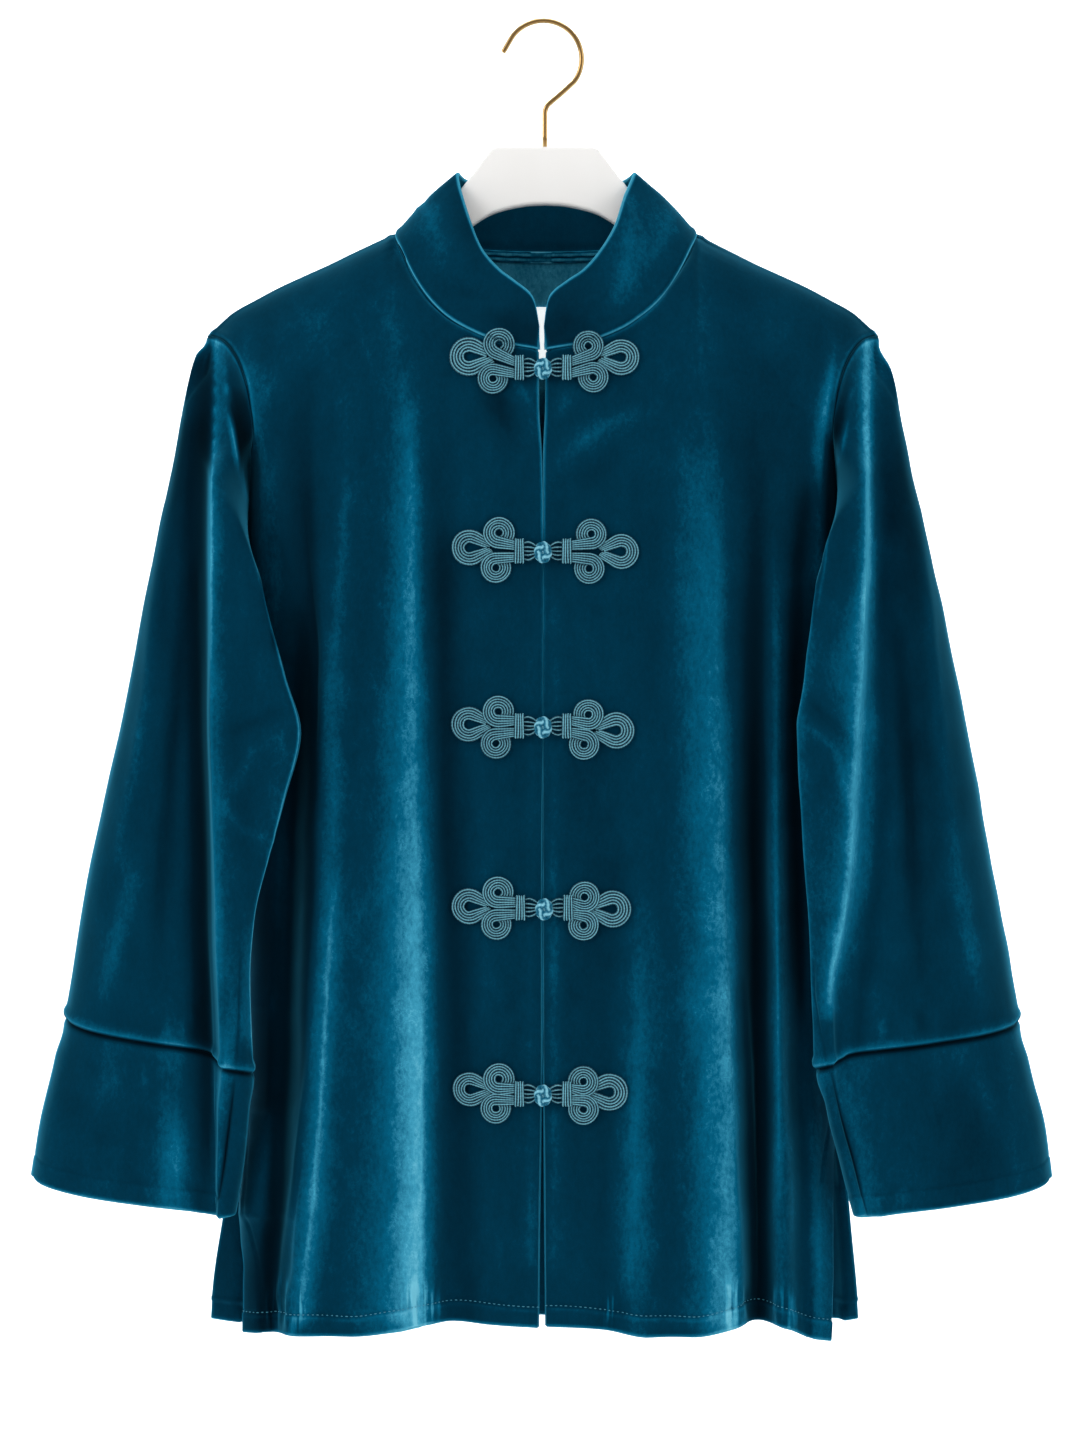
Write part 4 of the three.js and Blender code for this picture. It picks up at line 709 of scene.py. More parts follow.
# Long lighter and darker streaks on each front: painted light and shade along the folds, with the brushing.
NAP_AND_LIGHT_STREAKS = {
    "front_right": [
        (19.8, 7.5, [(-92, -225, 0), (-88, -278, 0.15), (-86, -390, 0.25), (-85, -488, 0.28),
            (-83, -587, 0.32), (-82, -666, 0.38), (-82, -772, 0.39), (-83, -860, 0.48)]),
        (5.9, 10.5, [(-68, -310, 0), (-66, -390, -0.15), (-64, -521, -0.15), (-60, -627, -0.14),
            (-56, -719, -0.08), (-53, -851, 0)]),
        (6.6, 9.2, [(-130, -258, 0.05), (-131, -337, 0.11), (-136, -416, 0.12), (-138, -554, 0.12),
            (-140, -607, 0.25), (-143, -666, 0.27), (-146, -725, 0.25), (-151, -785, 0.32),
            (-159, -851, 0.29)]),
        (13.2, 5.3, [(-156, -245, -0.06), (-155, -310, -0.16), (-153, -390, -0.24), (-153, -469, -0.40),
            (-153, -561, -0.46), (-157, -640, -0.42), (-161, -706, -0.38), (-167, -765, -0.36),
            (-176, -811, -0.32), (-182, -864, -0.26)]),
        (17.1, 7.9, [(-185, -508, 0), (-185, -561, -0.16), (-182, -620, -0.24), (-184, -719, -0.18),
            (-193, -785, -0.06), (-200, -864, -0.06)]),
        (42, 9, [(-86, -390, 0.03), (-84, -560, 0.11), (-83, -700, 0.15), (-84, -860, 0.17)]),
        (10, 5, [(-89, -256, 0), (-87, -290, 0.10), (-85, -335, 0.15), (-85, -400, 0.08), (-84, -460, 0)]),
        (9, 8, [(-32, -244, 0), (-29, -258, -0.16), (-24, -274, -0.10), (-16, -296, 0)]),
        (4, 4, [(-17, -244, 0), (-12, -254, 0.16), (-7, -264, 0.02)]),
        (26, 12, [(-104, -170, 0.02), (-100, -205, 0.09), (-94, -240, 0.08), (-90, -290, 0)]),
        (20, 14, [(-150, -178, 0), (-150, -205, 0.06), (-146, -240, 0)]),
        (8, 7, [(-177, -262, 0), (-177, -330, 0.12), (-178, -440, 0.10), (-176, -500, 0)]),
        (5, 7, [(-199, -216, 0.10), (-195, -246, 0.12), (-190, -283, 0.14), (-187, -306, 0.14),
            (-188, -337, 0.12), (-190, -361, 0.08)]),
        (7, 2.5, [(-200, -262, -0.10), (-198, -290, -0.36), (-198, -330, -0.40), (-198, -372, -0.30)]),
        (5.3, 5.3, [(-8, -390, 0), (-8, -521, 0.06), (-8, -653, 0.08), (-8, -818, 0.12)])],
    "front_left": [
        (22.4, 7.2, [(103, -218, 0), (110, -251, 0.06), (114, -310, 0.14), (115, -390, 0.18),
            (116, -488, 0.22), (118, -567, 0.26), (120, -653, 0.29), (121, -752, 0.31), (122, -860, 0.37)]),
        (8.6, 7.2, [(140, -278, 0), (141, -330, -0.15), (141, -390, -0.24), (140, -449, -0.32),
            (140, -495, -0.42), (140, -587, -0.46), (140, -719, -0.46), (141, -860, -0.40)]),
        (34, 9, [(118, -300, 0.03), (120, -560, 0.08), (122, -700, 0.10), (123, -860, 0.10)]),
        (14, 12, [(66, -258, 0), (44, -272, 0.09), (26, -284, 0.12), (12, -298, 0.08), (6, -310, 0)]),
        (6, 7, [(20, -244, 0), (16, -258, 0.12), (8, -272, 0.04)]),
        (8, 9, [(52, -286, 0), (36, -304, -0.09), (22, -326, 0)]),
        (14, 26, [(106, -178, 0.02), (106, -205, 0.08), (104, -235, 0.04)]),
        (14, 20, [(150, -180, 0), (152, -205, 0.07), (150, -240, 0)]),
        (5, 4, [(194, -222, 0.10), (189, -250, 0.25), (185, -271, 0.28), (183, -292, 0.28),
            (183, -320, 0.12), (182, -365, 0.10)]),
        (2.5, 8, [(194, -262, -0.25), (192, -300, -0.42), (190, -340, -0.40), (190, -370, -0.30)]),
        (3.3, 5.3, [(153, -337, 0), (153, -403, 0.18), (154, -495, 0.16), (154, -587, 0.21),
            (154, -686, 0.21), (154, -851, 0.05)]),
        (5.9, 5.9, [(173, -324, -0.14), (169, -363, -0.26), (167, -416, -0.42), (166, -495, -0.46),
            (167, -587, -0.44), (169, -640, -0.26), (171, -680, 0)]),
        (9.9, 9.9, [(69, -561, 0), (65, -613, 0.08), (63, -686, 0.15), (60, -752, 0.19), (59, -805, 0.16),
            (57, -864, 0.02)]),
        (9.2, 5.3, [(184, -653, 0), (184, -719, 0.12), (182, -805, 0.18), (182, -870, 0.14)]),
        (10.5, 10.5, [(43, -495, 0), (42, -587, -0.06), (40, -719, -0.06), (40, -864, -0.05)]),
        (5.3, 5.3, [(7, -390, 0.04), (7, -521, 0.08), (7, -587, 0.16), (7, -818, 0.10)])],
}


def finish_front(side):
    who = "right" if side < 0 else "left"
    name, seed = f"front_{who}", 3 if side < 0 else 4
    near_hem = [0.4, 0.36, 0.32, 0.29, 0.26, 0.245, 0.233, 0.222, 0.21, 0.195, 0.17, 0.14, 0.11, 0.08, 0.05,
                0.03, 0.015, 0]
    js = np.unique(np.concatenate([[0, 0.06, 0.14, 0.26, 0.4, 0.55, 0.7, 0.85], np.arange(1, 12, 0.11),
                                   np.arange(12, 19.6, 0.0425), 20 - np.array(near_hem)]))
    p, a, b = front_panel(side, js, edge_columns(128))
    x, z = p[..., 0], p[..., 2]
    J = np.broadcast_to(js[:, None], x.shape)
    # the distance above the hem, as a negative drop, from both edges and down from the shoulder
    drop, down = HEM[name](x) - z, run_down(p)
    from_b, from_a = np.linalg.norm(p - b, axis=-1), np.linalg.norm(p - a, axis=-1)
    p = np.stack([x, eased(p[..., 1], below_neck_point(x, down, from_a)), z], -1)
    n = normals(p)
    n *= -np.sign(n[..., 1].mean())
    soft = smooth(0, 60, down)
    high = waves(x, z, seed, 95, 0.8) * soft + waves(x, z, seed + 10, 38, 0.28) * soft
    high += creases(SMALL[name], x, z)
    on_side, on_neck = J <= 14.6, J <= 7.02
    # beside each seam: a raised lip, a painted highlight just beside it and painted shade in its groove
    painted_highlight, painted_shade = np.zeros_like(x), np.zeros_like(x)
    seams = ((from_b, on_side, 0.30, 0.30), (from_a, on_neck, 0.30, 0.30), (down, True, 1.15, 0.0))
    for away, where, glow, shadow in seams:
        high += np.where(where, lip(away), 0)
        painted_highlight = np.maximum(painted_highlight, np.where(where, glow * bell(away - 1.8, 1.3), 0))
        painted_shade = np.maximum(painted_shade, np.where(where, shadow * bell(away, 1.0), 0))
    high, stitched = turn_hem(high, x, drop)
    high += 1.6 * creases(HEM_GATHERS[name], x, z)
    high = turn_vent(high, z, from_b)
    free = np.where(on_neck, ON_SEAM, from_a)
    high += 0.5 * smooth(7, 2, free) - 0.9 * bell(free, 1.4)
    p = p + n * high[..., None]
    # painted light over the relief: lighter where the cloth stands out, darker where it lies back
    relief = np.clip(high_pass(-(p[..., 1] + stand(x, z)), 16, 11) / 9 * 0.2, -0.05, 0.05)
    crest = np.clip(0.425 + streaks(NAP_AND_LIGHT_STREAKS[name], x, z) + relief - painted_shade, 0, 1.2)
    # painted highlights at the seams, free and vent edges, hem fold, hem stitching and crisp fold lines
    worn = np.maximum.reduce([
        painted_highlight, (0.35 + 0.6 * smooth(-372, -330, z)) * bell(free, 0.9),
        0.8 * bell(np.where(on_side, ON_SEAM, from_b), 1.2), 0.7 * bell(drop, 1.2) * (J > 15),
        0.20 * bell(drop - stitched - 2.4, 1.0), creases(CRISP_PAINTED_HIGHLIGHTS[name], x, z)])
    piece = cloth(f"{name}_velvet", p, lambda q: [0, -1.0, 0], crest=crest, worn=worn, rims=(0, 1, 1, 1))
    gather = np.clip(creases([(1.4, 5.5, path) for _, _, path in HEM_GATHERS[name]], x, z), 0, 1).ravel()
    drawn = np.zeros(len(piece.data.vertices), np.float32)
    drawn[:gather.size] = gather
    piece.data.attributes.new("gather", "FLOAT", "POINT").data.foreach_set("value", drawn)
    sewn[name] = level_line(p + n * 0.1, drop - stitched)
    fit(piece, name)
    return piece


for piece in [finish_front(side) for side in (-1, 1)]:
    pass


# ------------------------------------------------------------------ back
# One velvet back without a centre seam, sewn to the fronts at the shoulders, and at the sides down to the
# vents.  It hangs a little wider than the fronts, so its hem shows in each vent.
SMALL["back"] = [
    (2.0, 3.5, [(-168, -640), (-176, -760), (-184, -868)]),
    (-1.6, 3, [(-150, -600), (-156, -740), (-160, -862)]), (1.6, 3, [(-40, -700), (-42, -800), (-40, -870)]),
    (1.8, 3.2, [(88, -660), (92, -780), (96, -868)]), (-1.5, 3, [(108, -640), (116, -760), (122, -866)]),
    (1.4, 3, [(166, -640), (176, -770), (184, -866)]), (1.3, 8, [(-160, -250), (-100, -330), (-60, -380)]),
    (1.2, 8, [(150, -240), (96, -320), (40, -390)]), (-1.3, 5, [(-190, -410), (-150, -450), (-110, -470)]),
    (1.2, 4, [(192, -404), (160, -440), (120, -460)]), (1.2, 2.4, [(-60, -838), (-58, -868)]),
    (-1.2, 2.4, [(20, -842), (22, -872)]), (1.2, 2.2, [(130, -842), (132, -868)])]


def back_x(b):
    """x across the back neck, from the right neck point (0) to the left one (1)."""
    return lerp(NECK["right"](0.0), NECK["left"](0.0), 0.5 - 0.5 * np.cos(np.pi * b))


def back_panel(js, cs):
    """The outer face of the back: rows js from the shoulder (0) to the hem (16), columns cs from the right
    edge (0) over the neck points (8 and 16) to the left edge (24).  Also those two edges at each point's
    row."""
    J, C = np.meshgrid(js, cs, indexing="ij")
    y = lambda x, z: stand(x, z, True) + folds(FOLDS["back"], x, z)

    def end(side, vent):
        below = side_edge(side, VENT[vent], np.interp(J, range(8, 17), LOWER))
        return np.where((J <= 8)[..., None], armhole(side, J, True), below)

    right, left = end(-1, "back_right"), end(1, "back_left")
    u = np.clip(np.abs(C - 12) - 4, 0, 8) / 8
    shoulder = np.where(C < 12, lerp(NECK["right"](0.0), -TIP_X, u), lerp(NECK["left"](0.0), TIP_X, u))
    start = np.where(np.abs(C - 12) < 4, back_x(np.clip((C - 8) / 8, 0, 1)), shoulder)
    straight = lerp(right[..., 0], left[..., 0], C / 24)
    x = lerp(start * np.abs(right[..., 0]) / TIP_X, straight, smooth(0, 1.2, J / 8))
    share = np.clip((x - right[..., 0]) / (left[..., 0] - right[..., 0]), 0, 1)
    fall = (TIP_Z - right[..., 2]) / (TIP_Z - UNDERARM)
    in_neck = lambda v: np.abs(v - NECK_MID) < NECK_HALF
    level = lambda v: lerp(np.where(in_neck(v), back_neck_z(v), shoulder_z(v)), UNDERARM, fall)
    ends = np.where((x < 0)[..., None], right, left)
    out = np.abs(x / ends[..., 0])
    upper = level(x) + (ends[..., 2] - level(ends[..., 0])) * out ** 9
    lower = lerp(right[..., 2], left[..., 2], share)
    lower = lower + (HEM["back"](x) - HEM_Z) * smooth(UNDERARM, HEM_Z, lower)
    z = np.where(J <= 8, upper, lower)
    c = ends[..., 1] - y(ends[..., 0], ends[..., 2])
    return np.stack([x, y(x, z) + c * out ** 10, z], -1), right, left


def finish_back():
    near_hem = [0.5, 0.44, 0.4, 0.36, 0.32, 0.29, 0.26, 0.24, 0.22, 0.195, 0.165, 0.13, 0.1, 0.07, 0.045,
                0.02, 0]
    js = np.unique(np.concatenate([[0, 0.1, 0.22, 0.36, 0.52, 0.7, 0.85], np.arange(1, 8, 0.11),
                                   np.arange(8, 15.5, 0.055), 16 - np.array(near_hem)]))
    p, right, left = back_panel(js, 24 * edge_columns(142, (0, 0.0018, 0.004, 0.007, 0.011)))
    x, z = p[..., 0], p[..., 2]
    J = np.broadcast_to(js[:, None], x.shape)
    away = np.minimum(np.linalg.norm(p - right, axis=-1), np.linalg.norm(p - left, axis=-1))
    down, drop, on_side = run_down(p), HEM["back"](x) - z, J <= 10.6
    p[..., 1] = eased(p[..., 1], below_neck_point(x, down))
    n = normals(p)
    n *= np.sign(n[..., 1].mean())
    high = (waves(x, z, 5, 100, 0.9) + waves(x, z, 15, 40, 0.3)) * smooth(0, 60, down)
    high += creases(SMALL["back"], x, z)
    # each seam gets a raised lip and painted shade in its groove
    painted_shade = np.zeros_like(x)
    for d, where in ((away, on_side), (down, True)):
        high += np.where(where, lip(d), 0)
        painted_shade = np.maximum(painted_shade, np.where(where, 0.30 * bell(d, 1.0), 0))
    high, stitched = turn_hem(high, x, drop)
    high = turn_vent(high, z, away)
    p = p + n * high[..., None]
    # painted light over the relief less the seam shade; then painted highlights at hem fold, vents, side
    # seams
    crest = np.clip(0.43 + high_pass(p[..., 1] - stand(x, z, True), 16, 11) / 9 * 0.9 - painted_shade, 0, 1.1)
    worn = np.maximum.reduce([
        0.7 * bell(drop, 1.2) * (J > 12), 0.8 * bell(np.where(on_side, ON_SEAM, away), 1.2),
        np.where(on_side, 0.35 * bell(away - 2.6, 1.3), 0)])
    sewn["back"] = level_line(p + n * 0.1, drop - stitched)
    # the inner face is paler below the neck, where light falls on it through the collar
    piece = cloth("back_velvet", p, lambda q: [0, 1.0, 0], crest=crest, worn=worn, rims=(0, 1, 1, 1),
                  inside=lerp(0.45, 0.89, smooth(-280, -225, z)))
    fit(piece, "back")


finish_back()


# ------------------------------------------------------------------ sleeves and cuffs
# Long velvet sleeves of two pieces, set into the armholes and hanging as flattened tubes with one long pleat
# down the front.  Each has a deep separate cuff, sewn on, that flares to its turned lower edge.
SLEEVE_COLUMNS = ["z", "Ox", "Oy", "Vx", "Vy", "Rx", "Ry", "Ix", "Iy"]
# By height: outer edge O, valley V, ridge R and inner fold I, how far out (x) and how far forward (y).
SLEEVE = {
    "right": track(SLEEVE_COLUMNS, [[-205, 222, -6, 222, -9, 219.5, -14, 216, -14],
        [-225, 233, -9, 225.5, -17, 220.5, -30, 215, -27],
        [-240, 237.2, -11, 227.5, -22, 220, -39, 211.8, -35],
        [-262, 241.5, -13, 229, -28, 219, -49, 208, -44],
        [-290, 246.5, -15, 230, -34, 218.4, -57, 203.4, -51],
        [-350, 258, -17, 230.5, -43, 217.4, -67, 191.5, -62],
        [-400, 267.8, -18, 230, -48, 216.6, -72, 180.2, -68],
        [-440, 275.4, -19, 229, -51, 216.3, -75, 169.4, -72],
        [-476, 283, -20, 228.6, -53, 216, -77, 159.6, -75],
        [-520, 292.1, -21, 228, -55, 215.2, -78, 169.8, -75],
        [-560, 299.8, -22, 227.4, -56, 214.3, -79, 179.9, -74],
        [-600, 307.6, -23, 226.6, -57, 212.8, -79, 189, -71],
        [-640, 314, -24, 225.1, -58, 211.9, -77, 192, -67],
        [-700, 324.5, -25, 223, -58, 209.5, -72, 190.6, -63]]),
    "left": track(SLEEVE_COLUMNS, [[-205, 222, -6, 222, -9, 218, -14, 211, -14],
        [-225, 230, -9, 222.5, -17, 215.6, -30, 208.4, -26],
        [-240, 234.8, -11, 223, -22, 214, -39, 204.3, -34],
        [-262, 238.8, -13, 224, -28, 213.5, -48, 199.3, -43],
        [-290, 244.5, -15, 224, -34, 212.2, -56, 195, -50],
        [-350, 257.2, -17, 224, -45, 211, -66, 184.5, -61],
        [-400, 268.2, -18, 223, -51, 209.5, -70, 177.1, -67],
        [-440, 275.9, -19, 223, -55, 208, -73, 171.5, -70],
        [-476, 283, -20, 223, -57, 204.5, -76, 166.9, -73],
        [-520, 291.4, -21, 222, -60, 202, -77, 169.2, -73],
        [-560, 298.1, -22, 220, -62, 200, -78, 171.8, -73],
        [-600, 305.5, -23, 216, -64, 195.7, -77, 174.2, -72],
        [-640, 312.9, -24, 210, -65, 188.5, -74, 175.5, -68],
        [-700, 322.2, -25, 206, -62, 190, -69, 179.5, -63]]),
}
# Cuffs: the heights of their seam and of their foot at five places round them, and the same edges by the
# share of the way from seam to foot.
CUFF = {
    "right": ({"O": -665, "V": -687, "R": -697, "I": -701, "K": -684},
        {"O": -770, "V": -793, "R": -795, "I": -793, "K": -782},
        track(["t"] + SLEEVE_COLUMNS[1:], [[0, 319, -25, 222.3, -58, 210, -70, 191.5, -62.5],
            [0.35, 326.3, -26, 221, -58.5, 212, -66, 194.5, -60],
            [0.7, 334.4, -28, 219.5, -60, 212.6, -65, 198, -58],
            [1, 339.4, -29, 217, -61, 212, -65, 203, -58]])),
    "left": ({"O": -667, "V": -688, "R": -695, "I": -698, "K": -684},
        {"O": -771, "V": -794, "R": -794, "I": -794, "K": -783},
        track(["t"] + SLEEVE_COLUMNS[1:], [[0, 317, -25, 206, -62, 190.2, -69, 180.5, -62.5],
            [0.35, 325.3, -26, 211, -63, 194.5, -67, 187.5, -60],
            [0.7, 334.2, -28, 217, -63, 202.5, -66, 196.5, -58],
            [1, 338, -29, 222, -63, 210.5, -66, 204.5, -58]])),
}
# The places round a sleeve, numbered from its outer edge over the front to the inner fold and back behind,
# and the four of them that are folds.
RING_PLACES = 20
RING = np.arange(0, RING_PLACES, 1 / 7.5)
OUTER, VALLEY, RIDGE, INNER = 0, 4, 6, 9


def ring_places(line, v):
    """The twenty places round a sleeve: x out and y, for each value v."""
    q = {k: f(v) for k, f in line.items()}
    roll = np.minimum(1, (q["Ox"] - q["Ix"]) / 60)

    def mid(a, b, s, t, forward=0.0):
        return lerp(q[a + "x"], q[b + "x"], s), lerp(q[a + "y"], q[b + "y"], t) - forward

    def hind(s):
        y = lerp(q["Iy"] + 19 * roll, q["Oy"] + 13 * roll, s ** 0.9) + 7 * roll * math.sin(math.pi * s)
        return lerp(q["Ix"], q["Ox"], s), y

    front = [(q["Ox"], q["Oy"]), mid("O", "V", 0.07, 0.42), mid("O", "V", 0.28, 0.80),
             mid("O", "V", 0.62, 1.0), (q["Vx"], q["Vy"]), mid("V", "R", 0.62, 0.30), (q["Rx"], q["Ry"]),
             mid("R", "I", 0.34, 0.1, 1.5), mid("R", "I", 0.76, 0.4, 1.5), (q["Ix"], q["Iy"])]
    behind = [hind(s) for s in (0.10, 0.24, 0.36, 0.48, 0.60, 0.72, 0.84, 0.94)]
    return [*front, (q["Ix"] + 1.5 * roll, q["Iy"] + 9 * roll), *behind, (q["Ox"] + 0.2, q["Oy"] + 7 * roll)]


def round_ring(line, v, c):
    """The same ring at any place c from 0 to 20, on a smooth closed curve."""
    places = np.array([np.stack(np.broadcast_arrays(*xy), -1) for xy in ring_places(line, v)])
    k = np.floor(c).astype(int) % RING_PLACES
    t = (c - np.floor(c))[..., None]
    rows = np.indices(c.shape)
    pick = lambda s: places[(k + s) % RING_PLACES, rows[0], rows[1]]
    a, b, d, e = pick(-1), pick(0), pick(1), pick(2)
    slope, bend, twist = d - a, 2 * a - 5 * b + 4 * d - e, 3 * b - a - 3 * d + e
    return 0.5 * (2 * b + slope * t + bend * t * t + twist * t ** 3)


def ring_height(h, c):
    """The height of a seam at place c, from its heights at the outer edge O, valley V, ridge R, inner fold I
    and back K."""
    behind = lerp(h["I"], h["K"], 0.45)
    return np.interp(c, [0, 4, 6, 9, 12, 15, 20], [h["O"], h["V"], h["R"], h["I"], behind, h["K"], h["O"]])


def from_middle(p):
    return p - p.mean(1, keepdims=True)


def tube_normals(p):
    """A tube's normals, pointing away from its middle."""
    n = normals(p, True)
    return n * np.sign((n * from_middle(p)).sum(-1).mean())


# Small creases of each sleeve, as on the fronts.
SLEEVE_SMALL = {
    "right": [
        (-1.5, 1.3, [(-197, -620), (-198, -645), (-198.7, -668), (-201, -702)]),
        (1.3, 1.6, [(-221.5, -214), (-221, -224), (-223, -238)]),
        (1.1, 1.4, [(-225.5, -216), (-226, -226), (-229, -240)]),
        (-1.1, 1.4, [(-223.5, -215), (-223.6, -226), (-226, -242)]),
        (1.0, 5, [(-165, -474), (-190, -490), (-214, -540)]),
        (-0.8, 5, [(-166, -462), (-190, -470), (-212, -480)]),
        (1.4, 4, [(-176, -548), (-196, -540), (-212, -520)]),
        (2.0, 7, [(-252, -330), (-262, -450), (-280, -560)]),
        (-2.0, 8, [(-236, -380), (-246, -520), (-256, -640)]),
        (1.8, 9, [(-268, -560), (-282, -620), (-292, -668)]),
        (1.4, 3, [(-232, -660), (-236, -672), (-238, -684)]),
        (-1.2, 2.6, [(-226, -652), (-229, -668), (-230, -686)]), (1.2, 2.6, [(-246, -668), (-248, -680)]),
        (-1.2, 2.4, [(-254, -664), (-256, -678)])],
    "left": [
        (-1.0, 1.3, [(176.5, -627), (177, -650), (181, -672), (187, -696)]),
        (1.2, 1.6, [(220.5, -214), (220, -224), (221, -238)]),
        (1.1, 1.4, [(224.5, -216), (225, -226), (227.5, -240)]),
        (-1.0, 1.4, [(222.5, -215), (222.6, -226), (224, -242)]),
        (1.5, 5, [(168, -470), (190, -486), (204, -540)]),
        (-1.4, 5, [(172, -455), (188, -470), (204, -486)]),
        (2.2, 7, [(250, -330), (258, -440), (272, -560)]),
        (-2.2, 8, [(232, -400), (240, -520), (248, -640)]),
        (2.0, 9, [(268, -540), (280, -610), (290, -664)]), (1.4, 2.6, [(222, -664), (223, -678)]),
        (-1.3, 2.4, [(230, -662), (231, -680)]), (1.4, 2.6, [(238, -662), (240, -680)]),
        (-1.2, 2.4, [(247, -660), (250, -676)]), (1.2, 3, [(258, -660), (260, -674)])],
}


# The streaks of painted light and nap of the sleeves, which run on over the cuffs.
NAP_AND_LIGHT_STREAKS["sleeve_right"] = [
    (1.8, 14, [(-208.5, -246, -0.15), (-205.5, -262, -0.50), (-201.5, -285, -0.62), (-197.5, -305, -0.65),
        (-193.5, -327, -0.65), (-187.5, -357, -0.65), (-182, -385, -0.60), (-176, -410, -0.50)]),
    (11.1, 3.3, [(-222, -233, -0.34), (-223, -279, -0.38), (-224, -390, -0.38), (-223, -455, -0.42),
        (-222, -521, -0.44), (-221, -603, -0.46), (-221, -662, -0.45), (-220, -694, -0.38),
        (-220, -724, -0.36), (-221, -757, -0.24), (-220, -800, -0.06)]),
    (3.3, 5.9, [(-219, -216, 0.40), (-218, -259, 0.28), (-218, -364, 0.34), (-217, -423, 0.22),
        (-213, -469, 0.16), (-212, -554, 0.20), (-211, -619, 0.22), (-209, -658, 0.08), (-207, -691, 0.20),
        (-212, -707, 0.14), (-214, -750, 0.06), (-215, -800, 0.08)]),
    (19.6, 19.6, [(-243, -279, -0.20), (-247, -338, -0.14), (-257, -416, -0.06), (-264, -455, 0)]),
    (10.5, 10.5, [(-175, -429, 0), (-169, -469, 0.10), (-171, -495, 0.10), (-176, -521, 0.12),
        (-184, -573, 0.08), (-192, -626, 0.16), (-192, -671, 0.22)]),
    (17.0, 10.5, [(-251, -711, 0.06), (-240, -737, 0.16), (-243, -763, 0.26), (-244, -800, 0.26)]),
    (7.9, 7.9, [(-251, -642, 0), (-247, -665, 0.06), (-244, -685, 0.08)])]
NAP_AND_LIGHT_STREAKS["sleeve_left"] = [
    (12, 3.5, [(200, -258, -0.14), (194, -280, -0.44), (190, -300, -0.44), (183, -330, -0.42),
        (178, -352, -0.40), (174, -384, -0.46), (169, -412, -0.42)]),
    (5.2, 5.2, [(217, -210, 0.50), (215, -249, 0.54), (214, -364, 0.54), (211, -390, 0.40),
        (209, -423, 0.26), (207, -469, 0.22), (205, -508, 0.24), (202, -560, 0.24), (198, -586, 0.26),
        (193, -616, 0.34), (189, -635, 0.44), (187, -657, 0.30), (187, -668, 0)]),
    (14.4, 13.1, [(211, -364, 0), (207, -403, 0.16), (206, -455, 0.22), (205, -495, 0.26), (202, -547, 0.24),
        (198, -580, 0.22), (193, -606, 0.20), (188, -639, 0.04), (187, -662, 0)]),
    (19.6, 26.2, [(226, -249, -0.06), (228, -285, -0.12), (237, -338, -0.17), (243, -403, -0.14),
        (247, -455, -0.10), (247, -521, -0.08), (243, -560, -0.06), (240, -626, 0)]),
    (6.5, 7.9, [(196, -698, 0.06), (202, -724, 0.12), (209, -757, 0.10), (211, -800, 0.20)]),
    (5.2, 3.9, [(176, -416, 0.14), (169, -469, 0.12), (172, -534, 0.08), (176, -626, 0.06),
        (181, -691, 0.10), (184, -730, 0.10)])]


# The two pressed ridges near each sleeve's head, until they meet the ring's own corners, painted pale.
RIDGE_LINES = {
    "right": [
        (0.45, 1.1, [(-220, -212), (-218.5, -259), (-218, -330), (-217, -400)]),
        (0.85, 1.0, [(-213, -232), (-210.6, -250), (-208, -266), (-204, -285), (-200, -304), (-196, -327),
            (-190, -357), (-184, -385)])],
    "left": [
        (0.3, 3.0, [(219, -212), (216, -259), (214, -330), (212, -390)]),
        (0.5, 1.0, [(207, -238), (204, -256), (200, -279), (193, -309), (187.6, -338), (184.6, -368),
            (180, -395)])],
}


def sharpen(p, place, high, half):
    """A pressed edge down a sleeve at one place of its ring."""
    step = np.linalg.norm(np.roll(p, -1, 1) - p, axis=-1)
    run = np.concatenate([np.zeros((len(p), 1)), np.cumsum(step, 1)[:, :-1]], 1)
    k = int(np.argmin(np.abs(RING - place)))
    d = np.abs(run - run[:, k:k + 1])
    return high * bell(np.minimum(d, step.sum(1, keepdims=True) - d), half)


